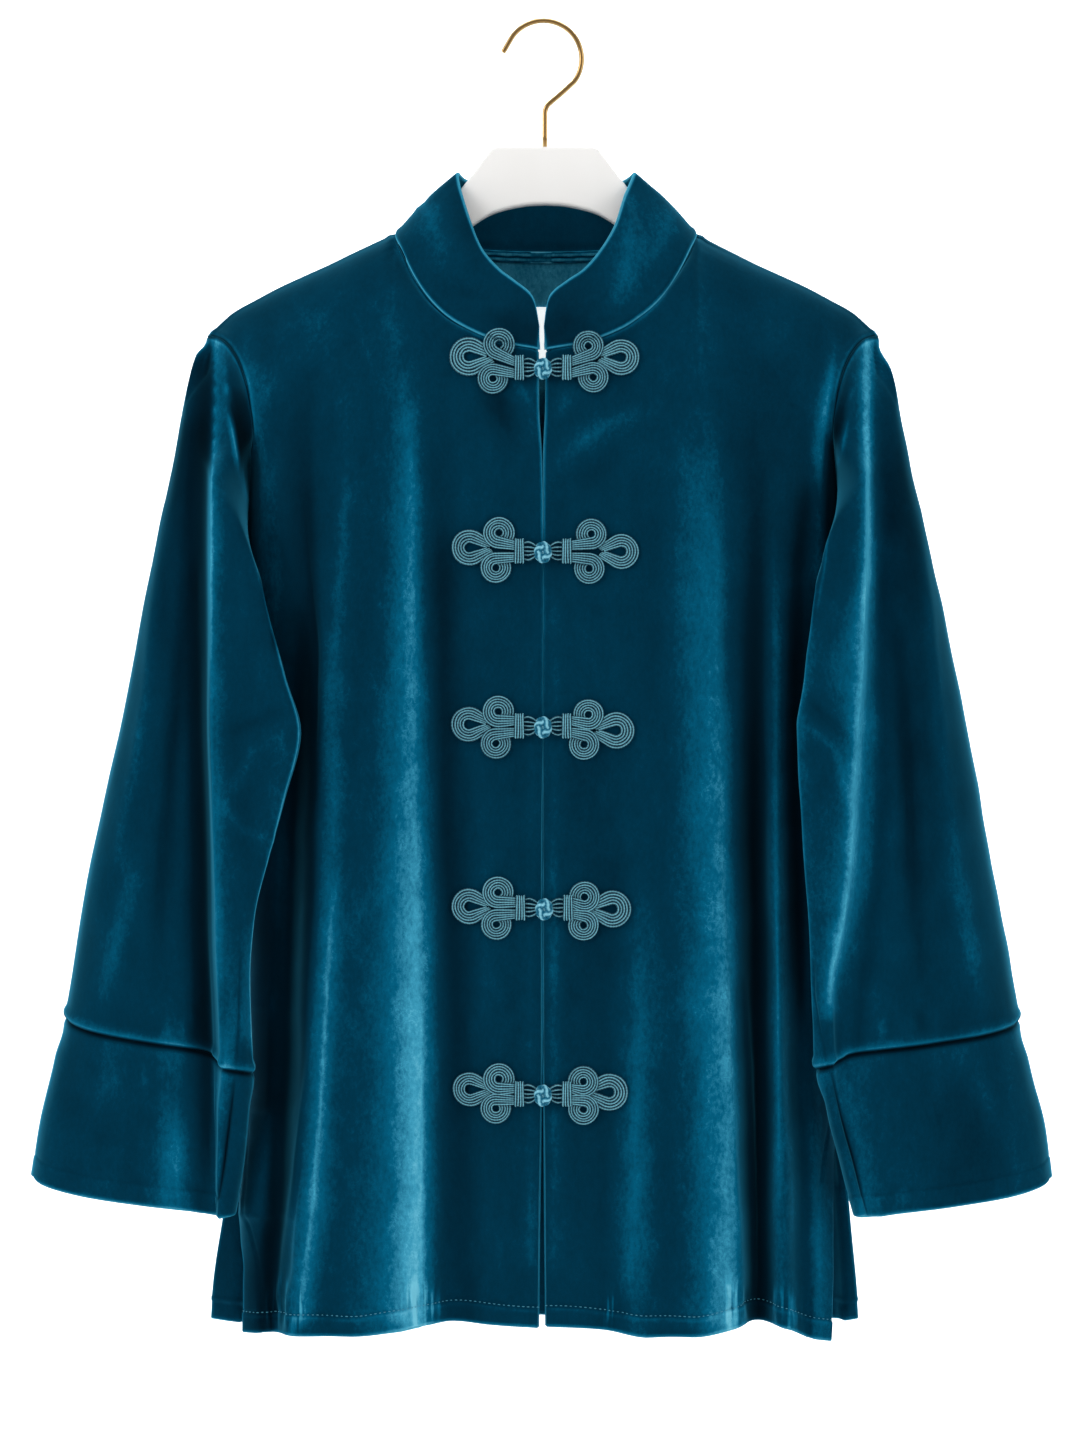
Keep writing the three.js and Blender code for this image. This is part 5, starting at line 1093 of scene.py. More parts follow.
def finish_sleeve(side):
    who = "right" if side < 0 else "left"
    near_foot = [0.042, 0.036, 0.03, 0.0245, 0.0195, 0.015, 0.011, 0.008, 0.005, 0.0025, 0]
    fs = np.unique(np.concatenate([[0, 0.0025, 0.006, 0.011, 0.017, 0.024], np.arange(0.03, 0.955, 0.0068),
                                   1 - np.array(near_foot)]))
    F, C = np.meshgrid(fs, RING, indexing="ij")
    arm = np.where((C <= 12)[..., None], armhole(side, np.minimum(C, 12)),
                   armhole(side, np.clip(20 - C, 0, 8), True))
    z = lerp(arm[..., 2], ring_height(CUFF[who][0], C), F)
    q = round_ring(SLEEVE[who], z, C)
    # the puffed head stands straight out of the seam
    head = smooth(1.7, 0.2, C) + smooth(18.6, 19.9, C)
    behind = smooth(8, 9.5, C) * (1 - smooth(18, 19.5, C))
    home = smooth(0, 0.10 + 0.10 * behind - (0.07 if side < 0 else 0.05) * head, F)
    p = np.stack([lerp(arm[..., 0], side * q[..., 0], home), lerp(arm[..., 1], q[..., 1], home), z], -1)
    n, x, down = tube_normals(p), p[..., 0], run_down(p)
    up = down[-1:] - down
    high = (waves(x, z, 6 + side, 90, 0.45) + waves(x, z, 16 + side, 36, 0.22)) * smooth(0, 40, down)
    high += creases(SLEEVE_SMALL[who], x, z) * (C < 11)
    high += creases([(2.0, 7, [(side * 190, -470), (side * 230, -500), (side * 270, -520)]),
                     (-1.8, 7, [(side * 186, -430), (side * 220, -470)]),
                     (1.8, 9, [(side * 250, -560), (side * 262, -620), (side * 270, -660)])], x, z) * (C > 11)
    pressed = sharpen(p, RIDGE, 1.1, 2.6) + sharpen(p, INNER, 0.9, 2.2) + sharpen(p, VALLEY, -1.2, 6)
    high += pressed * smooth(-350, -380, z)
    high += creases([(1.1, 4.0, RIDGE_LINES[who][1][2])], x, z) * (C < 10)
    high += lip(down, 0.9)
    # the lower edge is turned over the cuff's seam: a puffed lip with small puckers, then in
    ripple = np.sin(C * 4.1 + 1.5 * np.sin(C * 1.3)) * 0.22
    high += (1.5 + ripple) * bell(up - 4.0, 3.2) - 1.6 * bell(up, 1.5)
    p = p + n * high[..., None]
    x, z = p[..., 0], p[..., 2]
    facing = smooth(10.6, 9.4, C) + smooth(19.2, 19.8, C)
    # painted light over the relief and in the front's streaks; painted shade at the armhole seam and lower
    # edge
    crest = 0.43 + np.clip(high_pass(high, 8, 6, True) * 0.09, -0.12, 0.12)
    crest = crest + streaks(NAP_AND_LIGHT_STREAKS[f"sleeve_{who}"], x, z) * facing
    crest = crest + (1 - facing) * 0.16 * np.sin(C * 1.6 + down / 90)
    crest = crest - 0.4 * bell(down, 1.4) - 0.35 * bell(up, 0.9)
    # painted highlights along the ridge, inner fold, head ridge lines, outline, armhole seam and lower lip
    lower = smooth(-372, -392, z)
    worn = np.maximum.reduce([
        sharpen(p, RIDGE, 0.25, 1.0) * lower * (side < 0),
        sharpen(p, INNER, 0.8 if side < 0 else 0.35, 0.9) * lower,
        creases(RIDGE_LINES[who], x, z) * facing, sharpen(p, OUTER, 0.95, 2.6) * smooth(0, 6, down),
        0.30 * bell(down - 2.9, 1.2), 0.5 * bell(up - 2.4, 1.2)])
    piece = cloth(f"sleeve_{who}_velvet", p, from_middle, True, crest=crest, worn=worn, rims=(0, 0))
    fit(piece, f"sleeve_{who}")


# The seam down the front of each cuff.
CUFF_SEAM = {
    "right": [(-202, -704), (-205, -728), (-209, -759), (-214, -792)],
    "left": [(189, -700), (195.5, -728), (203.6, -757), (209, -780), (212.5, -794)],
}


def finish_cuff(side):
    who = "right" if side < 0 else "left"
    top, foot, line = CUFF[who]
    near_foot = [0.135, 0.125, 0.117, 0.109, 0.1, 0.085, 0.07, 0.055, 0.04, 0.025, 0.012, 0]
    ts = np.unique(np.concatenate([[0, 0.006, 0.014, 0.024, 0.036, 0.05], np.arange(0.07, 0.86, 0.025),
                                   1 - np.array(near_foot)]))
    T, C = np.meshgrid(ts, RING, indexing="ij")
    z = lerp(ring_height(top, C), ring_height(foot, C), T)
    ring = round_ring(SLEEVE[who], ring_height(top, C), C)
    q = lerp(ring, round_ring(line, T, C), smooth(0, 0.25, T)[..., None])
    p = np.stack([side * q[..., 0], q[..., 1], z], -1)
    n, x = tube_normals(p), p[..., 0]
    down, up, in_front = ring_height(top, C) - z, z - ring_height(foot, C), C < 10
    high = waves(x, z, 26 + side, 70, 0.5) + waves(x, z, 36 + side, 30, 0.2)
    high += -1.6 * bell(down, 2.4)
    high += creases([(-1.6, 1.2, CUFF_SEAM[who])], x, z) * in_front + sharpen(p, RIDGE, 0.8, 3)
    high += creases([(1.3, 3, [(side * 237, -776), (side * 233, -790)]),
                     (-1.0, 3, [(side * 228, -774), (side * 226, -792)]),
                     (1.0, 3, [(side * 262, -694), (side * 264, -712)]),
                     (1.2, 8, [(side * 280, -690), (side * 300, -740)])], x, z) * in_front
    high += 0.4 * smooth(HEM_STITCHED + 1, HEM_STITCHED - 1, up) - 0.42 * bell(up - HEM_STITCHED, 1.0)
    p = p + n * high[..., None]
    facing = smooth(10.6, 9.4, C) + smooth(19.2, 19.8, C)
    # painted light over the relief and streaks; painted shadow under the sleeve's lip and shade in the seam
    crest = 0.45 + np.clip(high_pass(high, 6, 8, True) * 0.08, -0.1, 0.1)
    crest = crest + streaks(NAP_AND_LIGHT_STREAKS[f"sleeve_{who}"], x, z) * facing - 0.38 * bell(down, 2.0)
    crest = crest - creases([(0.34, 1.0, CUFF_SEAM[who])], x, z) * in_front
    # painted highlights along the inner fold, the outer outline and the turned foot
    painted_fold_highlights = sharpen(p, INNER, 0.5, 0.9), sharpen(p, OUTER, 0.95, 2.6)
    worn = np.maximum.reduce([0.75 * bell(up, 1.0), *painted_fold_highlights])
    piece = cloth(f"cuff_{who}_velvet", p, from_middle, True, crest=crest, worn=worn, rims=(0, 1))
    fit(piece, f"cuff_{who}")


for side in (-1, 1):
    finish_sleeve(side)
    finish_cuff(side)


# ------------------------------------------------------------------ stitches
# The turned hems of the fronts and the back are caught by one row of running stitches each, by machine and in
# matching thread.  A stitch is about 2 mm long, 3 mm from the next, and half sunk in the pile.
def stitch_tree():
    """Beads along a path, of uneven length, as one mesh."""
    tree = bpy.data.node_groups.new("running_stitch", "GeometryNodeTree")
    for side, kind, name, value in (
            ("INPUT", "Geometry", "Geometry", None), ("INPUT", "Float", "Pitch", 0.0032),
            ("INPUT", "Float", "Length", 0.0018), ("INPUT", "Float", "Radius", 0.00032),
            ("INPUT", "Int", "Seed", 5), ("INPUT", "Material", "Material", None),
            ("OUTPUT", "Geometry", "Geometry", None)):
        socket = tree.interface.new_socket(name, in_out=side, socket_type=f"NodeSocket{kind}")
        if value is not None:
            socket.default_value = value
    node = {key: tree.nodes.new(kind) for key, kind in (
        ("given", "NodeGroupInput"), ("path", "GeometryNodeMeshToCurve"),
        ("places", "GeometryNodeCurveToPoints"), ("bead", "GeometryNodeMeshUVSphere"),
        ("uneven", "FunctionNodeRandomValue"), ("half", "ShaderNodeMath"),
        ("size", "ShaderNodeCombineXYZ"), ("rows", "GeometryNodeInstanceOnPoints"),
        ("real", "GeometryNodeRealizeInstances"), ("finish", "GeometryNodeSetMaterial"),
        ("result", "NodeGroupOutput"))}
    node["places"].mode = "LENGTH"
    node["uneven"].data_type = "FLOAT"
    node["half"].operation = "MULTIPLY"
    for key, socket, value in (("bead", "Segments", 6), ("bead", "Rings", 4), ("bead", "Radius", 1.0),
                               ("uneven", "Min_001", 0.36), ("uneven", "Max_001", 0.56)):
        next(q for q in node[key].inputs if q.identifier == socket).default_value = value
    for start, out, end, into in (
            ("given", "Geometry", "path", "Mesh"), ("path", "Curve", "places", "Curve"),
            ("given", "Pitch", "places", "Length"), ("given", "Seed", "uneven", "Seed"),
            ("given", "Length", "half", 0), ("uneven", 1, "half", 1), ("given", "Radius", "size", "X"),
            ("given", "Radius", "size", "Y"), ("half", 0, "size", "Z"),
            ("places", "Points", "rows", "Points"), ("bead", "Mesh", "rows", "Instance"),
            ("places", "Rotation", "rows", "Rotation"),
            ("size", 0, "rows", "Scale"), ("rows", 0, "real", 0), ("real", 0, "finish", "Geometry"),
            ("given", "Material", "finish", "Material"), ("finish", 0, "result", 0)):
        tree.links.new(node[start].outputs[out], node[end].inputs[into])
    return tree


def stitch_thread():
    f = Finish("stitch_thread")
    fibre = f.noise(f.position(), 2600, 2, 0.5)
    return f.close(f.principled({"Base Color": f.mix(fibre, rgb(40, 118, 144), rgb(96, 172, 196)),
                                 "Roughness": 0.7, "Specular IOR Level": 0.2}))


running_stitch, thread = stitch_tree(), stitch_thread()
for name, line in sewn.items():
    path = bpy.data.meshes.new(f"stitch_path_{name}")
    path.from_pydata((line / 1000).tolist(), [(k, k + 1) for k in range(len(line) - 1)], [])
    rough = bpy.data.objects.new(f"stitch_path_{name}", path)
    scene.collection.objects.link(rough)
    maker = rough.modifiers.new("stitches", "NODES")
    maker.node_group = running_stitch
    for item in running_stitch.interface.items_tree:
        if item.in_out == "INPUT" and item.name in ("Material", "Seed"):
            maker[item.identifier] = thread if item.name == "Material" else len(name)
    done = bpy.data.meshes.new_from_object(rough.evaluated_get(bpy.context.evaluated_depsgraph_get()))
    bpy.data.objects.remove(rough)
    bpy.data.meshes.remove(path)
    piece = bpy.data.objects.new(f"{name}_stitches", done)
    scene.collection.objects.link(piece)
    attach(piece, "root")


# ------------------------------------------------------------------ stand collar
# A stiffened velvet stand collar, cut in one piece and lined with itself, that leans inward round the neck
# and has rounded front corners.  It is bagged out, so its edge is a soft roll without stitching.
# The collar's upper edge, from the centre back (-1) past the neck point (0) to the centre front (1).
COLLAR = track(["f", "right", "left", "y", "z"], [[-1, 0, 0, 47, -106], [-0.75, -27, 29, 46, -105.5],
    [-0.5, -45.5, 48.5, 37, -103.5], [-0.25, -55.5, 59, 20, -101], [0, -58.2, 62.6, 0, -99.5],
    [0.14, -57, 59, -9, -108.5], [0.30, -54.1, 54.5, -17, -119.6], [0.46, -48.6, 49.3, -27, -137],
    [0.62, -40.5, 38.5, -34, -156.5], [0.76, -29, 27, -40, -170.3], [0.86, -18.5, 15.4, -43.5, -178.5],
    [0.95, -6.6, 4.0, -48, -190], [1, -2.3, 0.5, -52, -209]])


def neck_seam(k):
    """The neck seam by place k: centre front right 0, neck points 7 and 15, centre front left 22.  Also the
    same place on the collar's own table, and whether it is on the right half."""
    f = np.interp(np.where(k <= 7, 7 - k, np.clip(k - 15, 0, 7)), range(8), NECK_F)
    on_front, right = (k <= 7) | (k >= 15), k < 11
    b = np.interp(np.clip(k - 7, 0, 8), range(9), [0, 0.03, 0.12, 0.27, 0.5, 0.73, 0.88, 0.97, 1])
    x = np.where(on_front, np.where(right, NECK["right"](f), NECK["left"](f)), back_x(b))
    y = np.where(on_front, np.where(f > 0, neck_y(x, NECK_FORWARD), 0), neck_y(x, NECK_BEHIND))
    y = np.where((np.abs(k - 7) < 1e-6) | (np.abs(k - 15) < 1e-6), 0, y)
    z = np.where(on_front, NECK["z"](f), back_neck_z(x))
    return np.stack([x, y, z], -1), np.where(on_front, f, np.where(b <= 0.5, -2 * b, -2 * (1 - b))), right


SMALL["collar"] = [
    (1.0, 2.6, [(-88, -120), (-80, -132), (-74, -150)]),
    (-0.8, 2.2, [(-82, -116), (-73, -130), (-66, -146)]), (0.8, 3, [(-60, -170), (-48, -184), (-32, -190)]),
    (0.9, 2.6, [(54, -118), (60, -138), (58, -160)]), (-0.7, 2.4, [(62, -124), (68, -142), (64, -164)]),
    (0.8, 3, [(50, -176), (36, -190), (22, -196)])]
NAP_AND_LIGHT_STREAKS["collar"] = [
    (16, 12, [(-84, -112, 0.10), (-76, -132, 0.16), (-66, -158, 0.10), (-56, -185, 0)]),
    (12, 16, [(50, -108, 0.08), (60, -130, 0.12), (57, -156, 0.18), (52, -182, 0.16), (40, -205, 0.02)]),
    (9, 9, [(-60, -112, -0.08), (-52, -140, -0.10), (-44, -160, 0)]),
    (12, 12, [(-62, -172, 0), (-48, -187, -0.07), (-30, -194, 0)]),
    (14, 16, [(-34, -192, 0), (-24, -205, -0.12), (-12, -214, -0.12)]),
    (14, 14, [(16, -196, -0.05), (14, -206, -0.12), (8, -216, -0.10)]),
    (9, 9, [(88, -122, 0.10), (78, -150, 0.12), (68, -172, 0)])]
COLLAR_THICK = 2.4


def finish_collar():
    hs = [0, 0.012, 0.028, 0.05, 0.075, *np.linspace(0.1, 0.9, 24), 0.925, 0.945, 0.96, 0.972, 0.982, 0.99, 1]
    H, K = np.meshgrid(hs, 22 * edge_columns(250, (0, 0.0015, 0.0035, 0.006, 0.01)), indexing="ij")
    foot, f, right = neck_seam(K)
    top_x = np.where(right, COLLAR["right"](f), COLLAR["left"](f))
    top = np.stack([top_x, COLLAR["y"](f), COLLAR["z"](f)], -1)
    # the edge rolls over at the shoulder
    top[..., 2] -= 1.6 * bell(f, 0.035)
    out = unit(np.stack([foot[..., 0] / 100, foot[..., 1] / 50, 0.55 + 0 * f], -1))
    bow = 2.2 * np.sin(np.pi * H) * np.where(f > 0.9, 0.3 + 0.7 * np.clip((1 - f) / 0.1, 0, 1), 1)
    p = lerp(foot, top, H[..., None]) + out * bow[..., None]
    n = normals(p)
    n *= np.sign((n * out).sum(-1).mean())
    tall = np.linalg.norm(top - foot, axis=-1)
    up, under = tall * H, tall * (1 - H)
    ends = [np.linalg.norm(p - p[:, k:k + 1], axis=-1) for k in (0, len(K[0]) - 1)]
    edge = np.minimum.reduce([under, *ends])
    x, z = p[..., 0], p[..., 2]
    round_z = z + p[..., 1] * 0.7
    high = waves(x, round_z, 9, 46, 0.35)
    high = high + waves(x, round_z, 19, 17, 0.14) * smooth(1, 9, edge) * smooth(2, 9, up)
    high += creases(SMALL["collar"], x, z)
    high += lip(up, 1.0, 4.0)
    p = p + n * high[..., None]
    # painted highlights along the free edges and just above the seam; the streaks add painted light and shade
    worn = np.maximum(1.15 * bell(edge, 1.1), 1.3 * bell(up - 0.8, 0.9))
    piece = cloth("collar_velvet", p, lambda g: out, thick=COLLAR_THICK, worn=worn, inside=0.42,
                  crest=0.425 + streaks(NAP_AND_LIGHT_STREAKS["collar"], x, z))
    fit(piece, "collar")


finish_collar()


# ------------------------------------------------------------------ neck tape and label
# A narrow folded velvet tape covers the collar seam inside the back neck, its ends lapped at the centre.  A
# plain white woven label lies flat below it, sewn to the inside of the back.
TAPE_HALF, TAPE_THICK = 3.4, 1.0
LABEL_HALF, LABEL_THICK = 30, 0.9


def finish_tape():
    x = back_x(np.linspace(0.12, 0.88, 151))
    out = np.clip(np.abs(x) / 100, 0, 1)
    seam = np.stack([x, neck_y(x, NECK_BEHIND), back_neck_z(x)], -1)
    t = unit(np.gradient(seam, axis=0))
    n = np.stack([np.sign(x) * 0.62 * out ** 3, 0.95 * np.sqrt(1 - out ** 2), lerp(0.25, 0.8, out ** 2)], -1)
    n = unit(n - t * (n * t).sum(-1, keepdims=True))
    up = unit(np.cross(t, n))
    up *= np.sign(up[:, 2:])
    side = smooth(55, 95, np.abs(x))
    W, X = np.meshgrid(np.linspace(-TAPE_HALF, TAPE_HALF, 15), x, indexing="ij")
    lap = smooth(7.2, 6.4, np.abs(X + 1.4))
    relief = 0.45 * np.cos(np.pi * W / 1.7 + np.pi) * (1 - 0.7 * lap) + 0.5 * lap
    relief = relief + 0.12 * np.sin(X / 2.3) * np.sin(W * 1.4)
    p = seam[None] - n * (CLOTH + TAPE_THICK + 1.1 * side)[:, None] + up * (W * (1 - 0.3 * side))[..., None]
    p = p - n * relief[..., None] * 0.7
    # the colour follows the tape's relief as painted light and shade, with painted highlight at its edges
    return cloth("neck_tape_velvet", p, lambda g: g * [1, 1, 0], thick=TAPE_THICK,
                 crest=np.clip(0.55 + (relief - 0.35 * lap) * 0.8, 0, 1),
                 worn=np.clip(np.abs(W) / TAPE_HALF, 0, 1) ** 8)


def finish_label():
    Z, X = np.meshgrid(np.linspace(-187, -233, 26), np.linspace(-LABEL_HALF, LABEL_HALF, 31), indexing="ij")
    y = stand(X, Z, True) + folds(FOLDS["back"], X, Z) - CLOTH - 1.0 - 0.25 * (X / LABEL_HALF) ** 4
    woven = Finish("woven_white")
    weave = woven.noise(woven.position(), 2600, 1, 0.5, (1, 1, 0.3))
    white = woven.mix((weave * 0.5).clip(), rgb(247, 250, 252), rgb(228, 234, 238))
    # its emission is painted light: the label glows as if lit inside the back neck
    body = woven.principled({"Base Color": white, "Roughness": 0.7, "Emission Color": (0.92, 0.99, 1, 1),
                             "Emission Strength": 0.82, "Normal": woven.bump(0.3, 0.0003, weave)})
    return cloth("label_woven", np.stack([X, y, Z], -1), lambda g: [0, 1.0, 0], thick=LABEL_THICK,
                 material=woven.close(body))


for piece, node, slot, flat, area in ((finish_tape(), "neck_tape", "velvet", (0.17, 0.01), 0.0012),
                                      (finish_label(), "label", "woven_label", (0.0602, 0.0463), 0.00277)):
    fit(piece, node)


# ------------------------------------------------------------------ frog closures
# Five pairs of flower frogs: five satin cords stitched side by side into a flat band, which is coiled into
# three loops and bound with a few turns.  A ball button is knotted from thicker cord.  Sewn down by hand on
# the fronts.
TOWARD_EYE = np.array([0, -1.0, 0])


def tube(path, radius, across, sides=8, closed=False, flat=1.0):
    """A cord along a path, mm, each cross-section flattened toward `across`: its points, its faces, and at
    each point the length so far and a value from 1 on top to 0 at the sides."""
    path, n = np.asarray(path, float), len(path)
    t = unit((np.roll(path, -1, 0) - np.roll(path, 1, 0)) if closed else np.gradient(path, axis=0))
    side = unit(np.cross(t, across))
    up = np.cross(side, t)
    a = 2 * np.pi * np.arange(sides) / sides
    r = np.broadcast_to(np.asarray(radius, float), (n,))[:, None, None]
    round_ = np.cos(a)[None, :, None] * side[:, None] + flat * np.sin(a)[None, :, None] * up[:, None]
    i, k = np.meshgrid(np.arange(n if closed else n - 1), np.arange(sides), indexing="ij")
    at = lambda i, k: (i % n) * sides + k % sides
    faces = np.stack([at(i, k), at(i, k + 1), at(i + 1, k + 1), at(i + 1, k)], -1).reshape(-1, 4).tolist()
    if not closed:
        faces += [list(range(sides))[::-1], [(n - 1) * sides + k for k in range(sides)]]
    along = np.concatenate([[0], np.cumsum(np.linalg.norm(np.diff(path, axis=0), axis=-1))])
    points = (path[:, None] + r * round_).reshape(-1, 3)
    return points, faces, np.repeat(along, sides), np.tile(np.sin(a) ** 2, n)


def bundle(name, tubes, material, shade):
    """Several tubes as one piece, each with its own shade from 0 to 1."""
    points, faces, base = [], [], 0
    for p, f, _, _ in tubes:
        points.append(p)
        faces += [[v + base for v in q] for q in f]
        base += len(p)
    layers = {"along": np.concatenate([t[2] for t in tubes]), "top": np.concatenate([t[3] for t in tubes]),
              "shade": np.concatenate([np.full(len(t[0]), s) for t, s in zip(tubes, shade)])}
    piece = mesh_piece(name, np.concatenate(points), faces, material, layers)
    shell = bmesh.new()
    shell.from_mesh(piece.data)
    bmesh.ops.recalc_face_normals(shell, faces=shell.faces)
    shell.to_mesh(piece.data)
    shell.free()
    return piece


def satin_cord(name, painted_shade, painted_highlight):
    """Rayon satin cord: fine threads laid along it with a slight twist, its soft gloss a painted highlight
    on top and its shaded sides painted shade.
    """
    f = Finish(name)
    along, top, shade = (f.attribute(k) for k in ("along", "top", "shade"))
    twist = f.value("ShaderNodeMath", {"operation": "SINE"}, [along * 3.4 + top * 2])
    mottle = f.noise(f.position(), 700, 2, 0.6)
    painted_gloss = (top ** 5.2) * (shade * 0.45 + 0.74)
    level = (painted_gloss + (mottle - 0.5) * 0.35 + twist * 0.05 + 0.02).clip()
    return f.close(f.principled({"Base Color": f.mix(level, painted_shade, painted_highlight),
                                 "Roughness": (0.6 - level * 0.14).clip(), "Specular IOR Level": 0.12,
                                 "Normal": f.bump(0.3, 0.0001, twist * 0.4 + mottle * 0.5)}))


# each cord's two colours: painted shade for its sides and gaps, painted highlight for its top
band_cord = satin_cord("satin_cord_band", rgb(0, 38, 58), rgb(140, 218, 238))
knot_cord = satin_cord("satin_cord_knot", rgb(10, 100, 130), rgb(156, 230, 250))

# Out from the knot, up from it and radius, in turn for the drop, upper and lower loop of each side.
FROGS = [
    ((0, -237.6), [(49, 8.6, 13), (29, 16.6, 10.6), (33, -6.2, 10.3)],
        [(51.6, 8, 12.2), (29.8, 15.2, 10.3), (33, -5.4, 10.3)]),
    ((0, -358.4), [(48.4, 3.3, 12), (29, 13, 10.6), (31, -10, 10.3)],
        [(51.6, 0.7, 11.7), (31.8, 12.2, 10.3), (30.4, -10.5, 10.3)]),
    ((0, -473.4), [(48.9, 2, 11.7), (29.4, 10.4, 10.6), (31, -10.6, 10.3)],
        [(48.2, -2, 12.2), (29.8, 8.4, 10.3), (27, -11.2, 10.3)]),
    ((0.8, -592.8), [(49.4, 1.7, 11.9), (30.4, 11, 10.6), (31.4, -10, 10.3)],
        [(45, 0, 12.4), (26.5, 8, 10.3), (25.8, -10.6, 10.3)]),
    ((0, -714.8), [(48.2, 3.6, 11.4), (29, 10.6, 10.6), (31, -8.6, 10.3)],
        [(43.6, 2, 12.4), (26.5, 9, 10.3), (26.5, -9.3, 10.3)])]
# The strands of a band, and its binding: its start and end out from the knot, and its middle up from it.
STRANDS, BIND_FROM, BIND_TO, BIND_MID = 5, 12.4, 18.8, 0.9
# How deep the cords sink in the pile, and their radius as a share of the distance between two of them.
SUNK, CORD_FILL = 0.25, 0.53
# From the binding to the knot, up from the binding's middle: each strand's start, its bow and its end.
NECK_STRANDS = [(4.9, 1.6, 3.4), (2.6, 0.5, 1.6), (0.2, -0.3, 0.2), (-2.4, -0.6, -1.4), (-4.6, -1.7, -3.2)]
front_face = {}
for who in ("right", "left"):
    mesh = bpy.data.objects[f"front_{who}_velvet"].data
    front_face[who] = BVHTree.FromPolygons([v.co for v in mesh.vertices], [q.vertices for q in mesh.polygons])


def seat(who, x, z):
    """The y of the frontmost cloth about (x, z) on one front, mm."""
    found = []
    for dx, dz in ((0, 0), (2, 0), (-2, 0), (0, 2), (0, -2)):
        start = Vector(((x + dx) / 1000, -1, (z + dz) / 1000))
        found.append(front_face[who].ray_cast(start, Vector((0, 1, 0)))[0])
    return min([hit.y * 1000 for hit in found if hit] or [-57.0])


def coil(centre, radius, up, rng):
    """Five strands of a loop, from the binding along the near side, round and behind their own start: each a
    path of points out, up and above the cloth, and its radius."""
    u, v = centre
    pitch, strands = (radius - 2.0) / STRANDS, []
    for k in range(STRANDS):
        r = radius - pitch * (k + 0.5)
        start = np.array([BIND_TO - 0.9, BIND_MID + up * (1.1 + 1.25 * k) - (0.35 if up < 0 else 0)])
        d = start - [u, v]
        tangent = math.atan2(up * d[1], d[0]) % (2 * math.pi) + math.acos(min(1, r / np.linalg.norm(d)))
        a = np.linspace(tangent, math.radians(246) + 2 * math.pi, 46)
        turn = np.stack([u + r * np.cos(a), v + up * r * np.sin(a)], -1)
        path = np.concatenate([lerp(start[None], turn[:1], np.linspace(0, 0.93, 8)[:, None]), turn])
        turned = np.concatenate([np.full(8, tangent), a]) - tangent
        h = np.interp(turned, [0, 1.2, 2.6, 3.6, 4.6, 5.4], [2.5, 2.3, 1.3, 1.15, 1.0, 0.85])
        strands.append((np.column_stack([path, h + rng.uniform(-0.06, 0.06)]), pitch * CORD_FILL))
    return strands


def drop(centre, radius, rng):
    """Five strands of the outer loop, which narrows toward the binding and ends behind the other two."""
    u, v = centre
    pitch, strands = (radius - 2.9) / STRANDS, []
    for k in range(STRANDS):
        r = radius - pitch * (k + 0.5)
        slope = math.radians(lerp(33, 18, k / 4))
        point = np.array([u - r / math.sin(slope), v])
        a = np.linspace(math.pi / 2 + slope, -math.pi / 2 - slope, 40)
        turn = np.stack([u + r * np.cos(a), v + r * np.sin(a)], -1)
        reach = lerp(0.66, 0.93, k / 4)
        first = lerp(lerp(turn[0], point, reach)[None], turn[:1], np.linspace(0, 0.94, 10)[:, None])
        last = lerp(turn[-1:], lerp(turn[-1], point, reach)[None], np.linspace(0.06, 1, 10)[:, None])
        h = np.concatenate([np.linspace(0.8, 1.05, 10), np.full(40, 1.1), np.linspace(1.05, 0.8, 10)])
        path = np.concatenate([first, turn, last])
        strands.append((np.column_stack([path, h + rng.uniform(-0.05, 0.05)]), pitch * CORD_FILL))
    return strands


def finish_frog(number, who, place, loops):
    rng = np.random.default_rng(40 + 2 * number + (who == "left"))
    s, (outer, upper, lower) = -1 if who == "right" else 1, loops
    strands = drop(outer[:2], outer[2], rng)
    for (u, v, radius), up in ((upper, 1), (lower, -1)):
        strands += coil((u, v), radius, up, rng)
    t = np.linspace(0, 1, 12)
    for k, (v0, bulge, v1) in enumerate(NECK_STRANDS):
        v = BIND_MID + lerp(v0, v1, t) + bulge * np.sin(np.pi * t)
        h = 1.5 + 0.7 * np.sin(np.pi * t) + 0.2 * (k % 2)
        strands.append((np.stack([lerp(13.6, 4.6, t), v, h], -1), 0.86))
    tubes, shade = [], []
    for path, radius in strands:
        wander = 0.10 * np.sin(np.arange(len(path)) * 0.35 + rng.uniform(0, 6))
        x, z = place[0] + s * (path[:, 0] + wander), place[1] + path[:, 1] + wander
        y = np.array([seat(who, px, pz) for px, pz in zip(x, z)])
        y = np.minimum(y, np.convolve(np.pad(y, 2, "edge"), np.ones(5) / 5, "valid")) - SUNK - path[:, 2]
        tubes.append(tube(np.stack([x, y, z], -1), radius, TOWARD_EYE, 7, flat=0.82))
        shade.append(rng.uniform(0.35, 0.85))
    base = min(seat(who, place[0] + s * u, place[1] + v) for u in (BIND_FROM, BIND_TO) for v in (-6, 0, 7))
    a = np.linspace(0, 2 * np.pi, 40, endpoint=False)
    for k in range(4):
        u = BIND_FROM + 0.8 + 1.6 * k + 0.12 * np.sin(2 * a + k)
        v = BIND_MID + (7.4 + rng.uniform(-0.3, 0.3)) * np.sign(np.cos(a)) * np.abs(np.cos(a)) ** 0.75
        h = 2.35 + 1.15 * np.sign(np.sin(a)) * np.abs(np.sin(a)) ** 0.6
        path = np.stack([place[0] + s * u, base - SUNK - h, place[1] + v], -1)
        tubes.append(tube(path, 0.88, path - path.mean(0), 7, closed=True))
        shade.append(rng.uniform(0.95, 1.35))
    fit(bundle(f"frog_{number}_{who}_cord", tubes, band_cord, shade), f"frog_{number}_{who}")


# Half the width, depth and height of the cord's way round the ball.
KNOT = np.array([4.3, 2.7, 5.6])


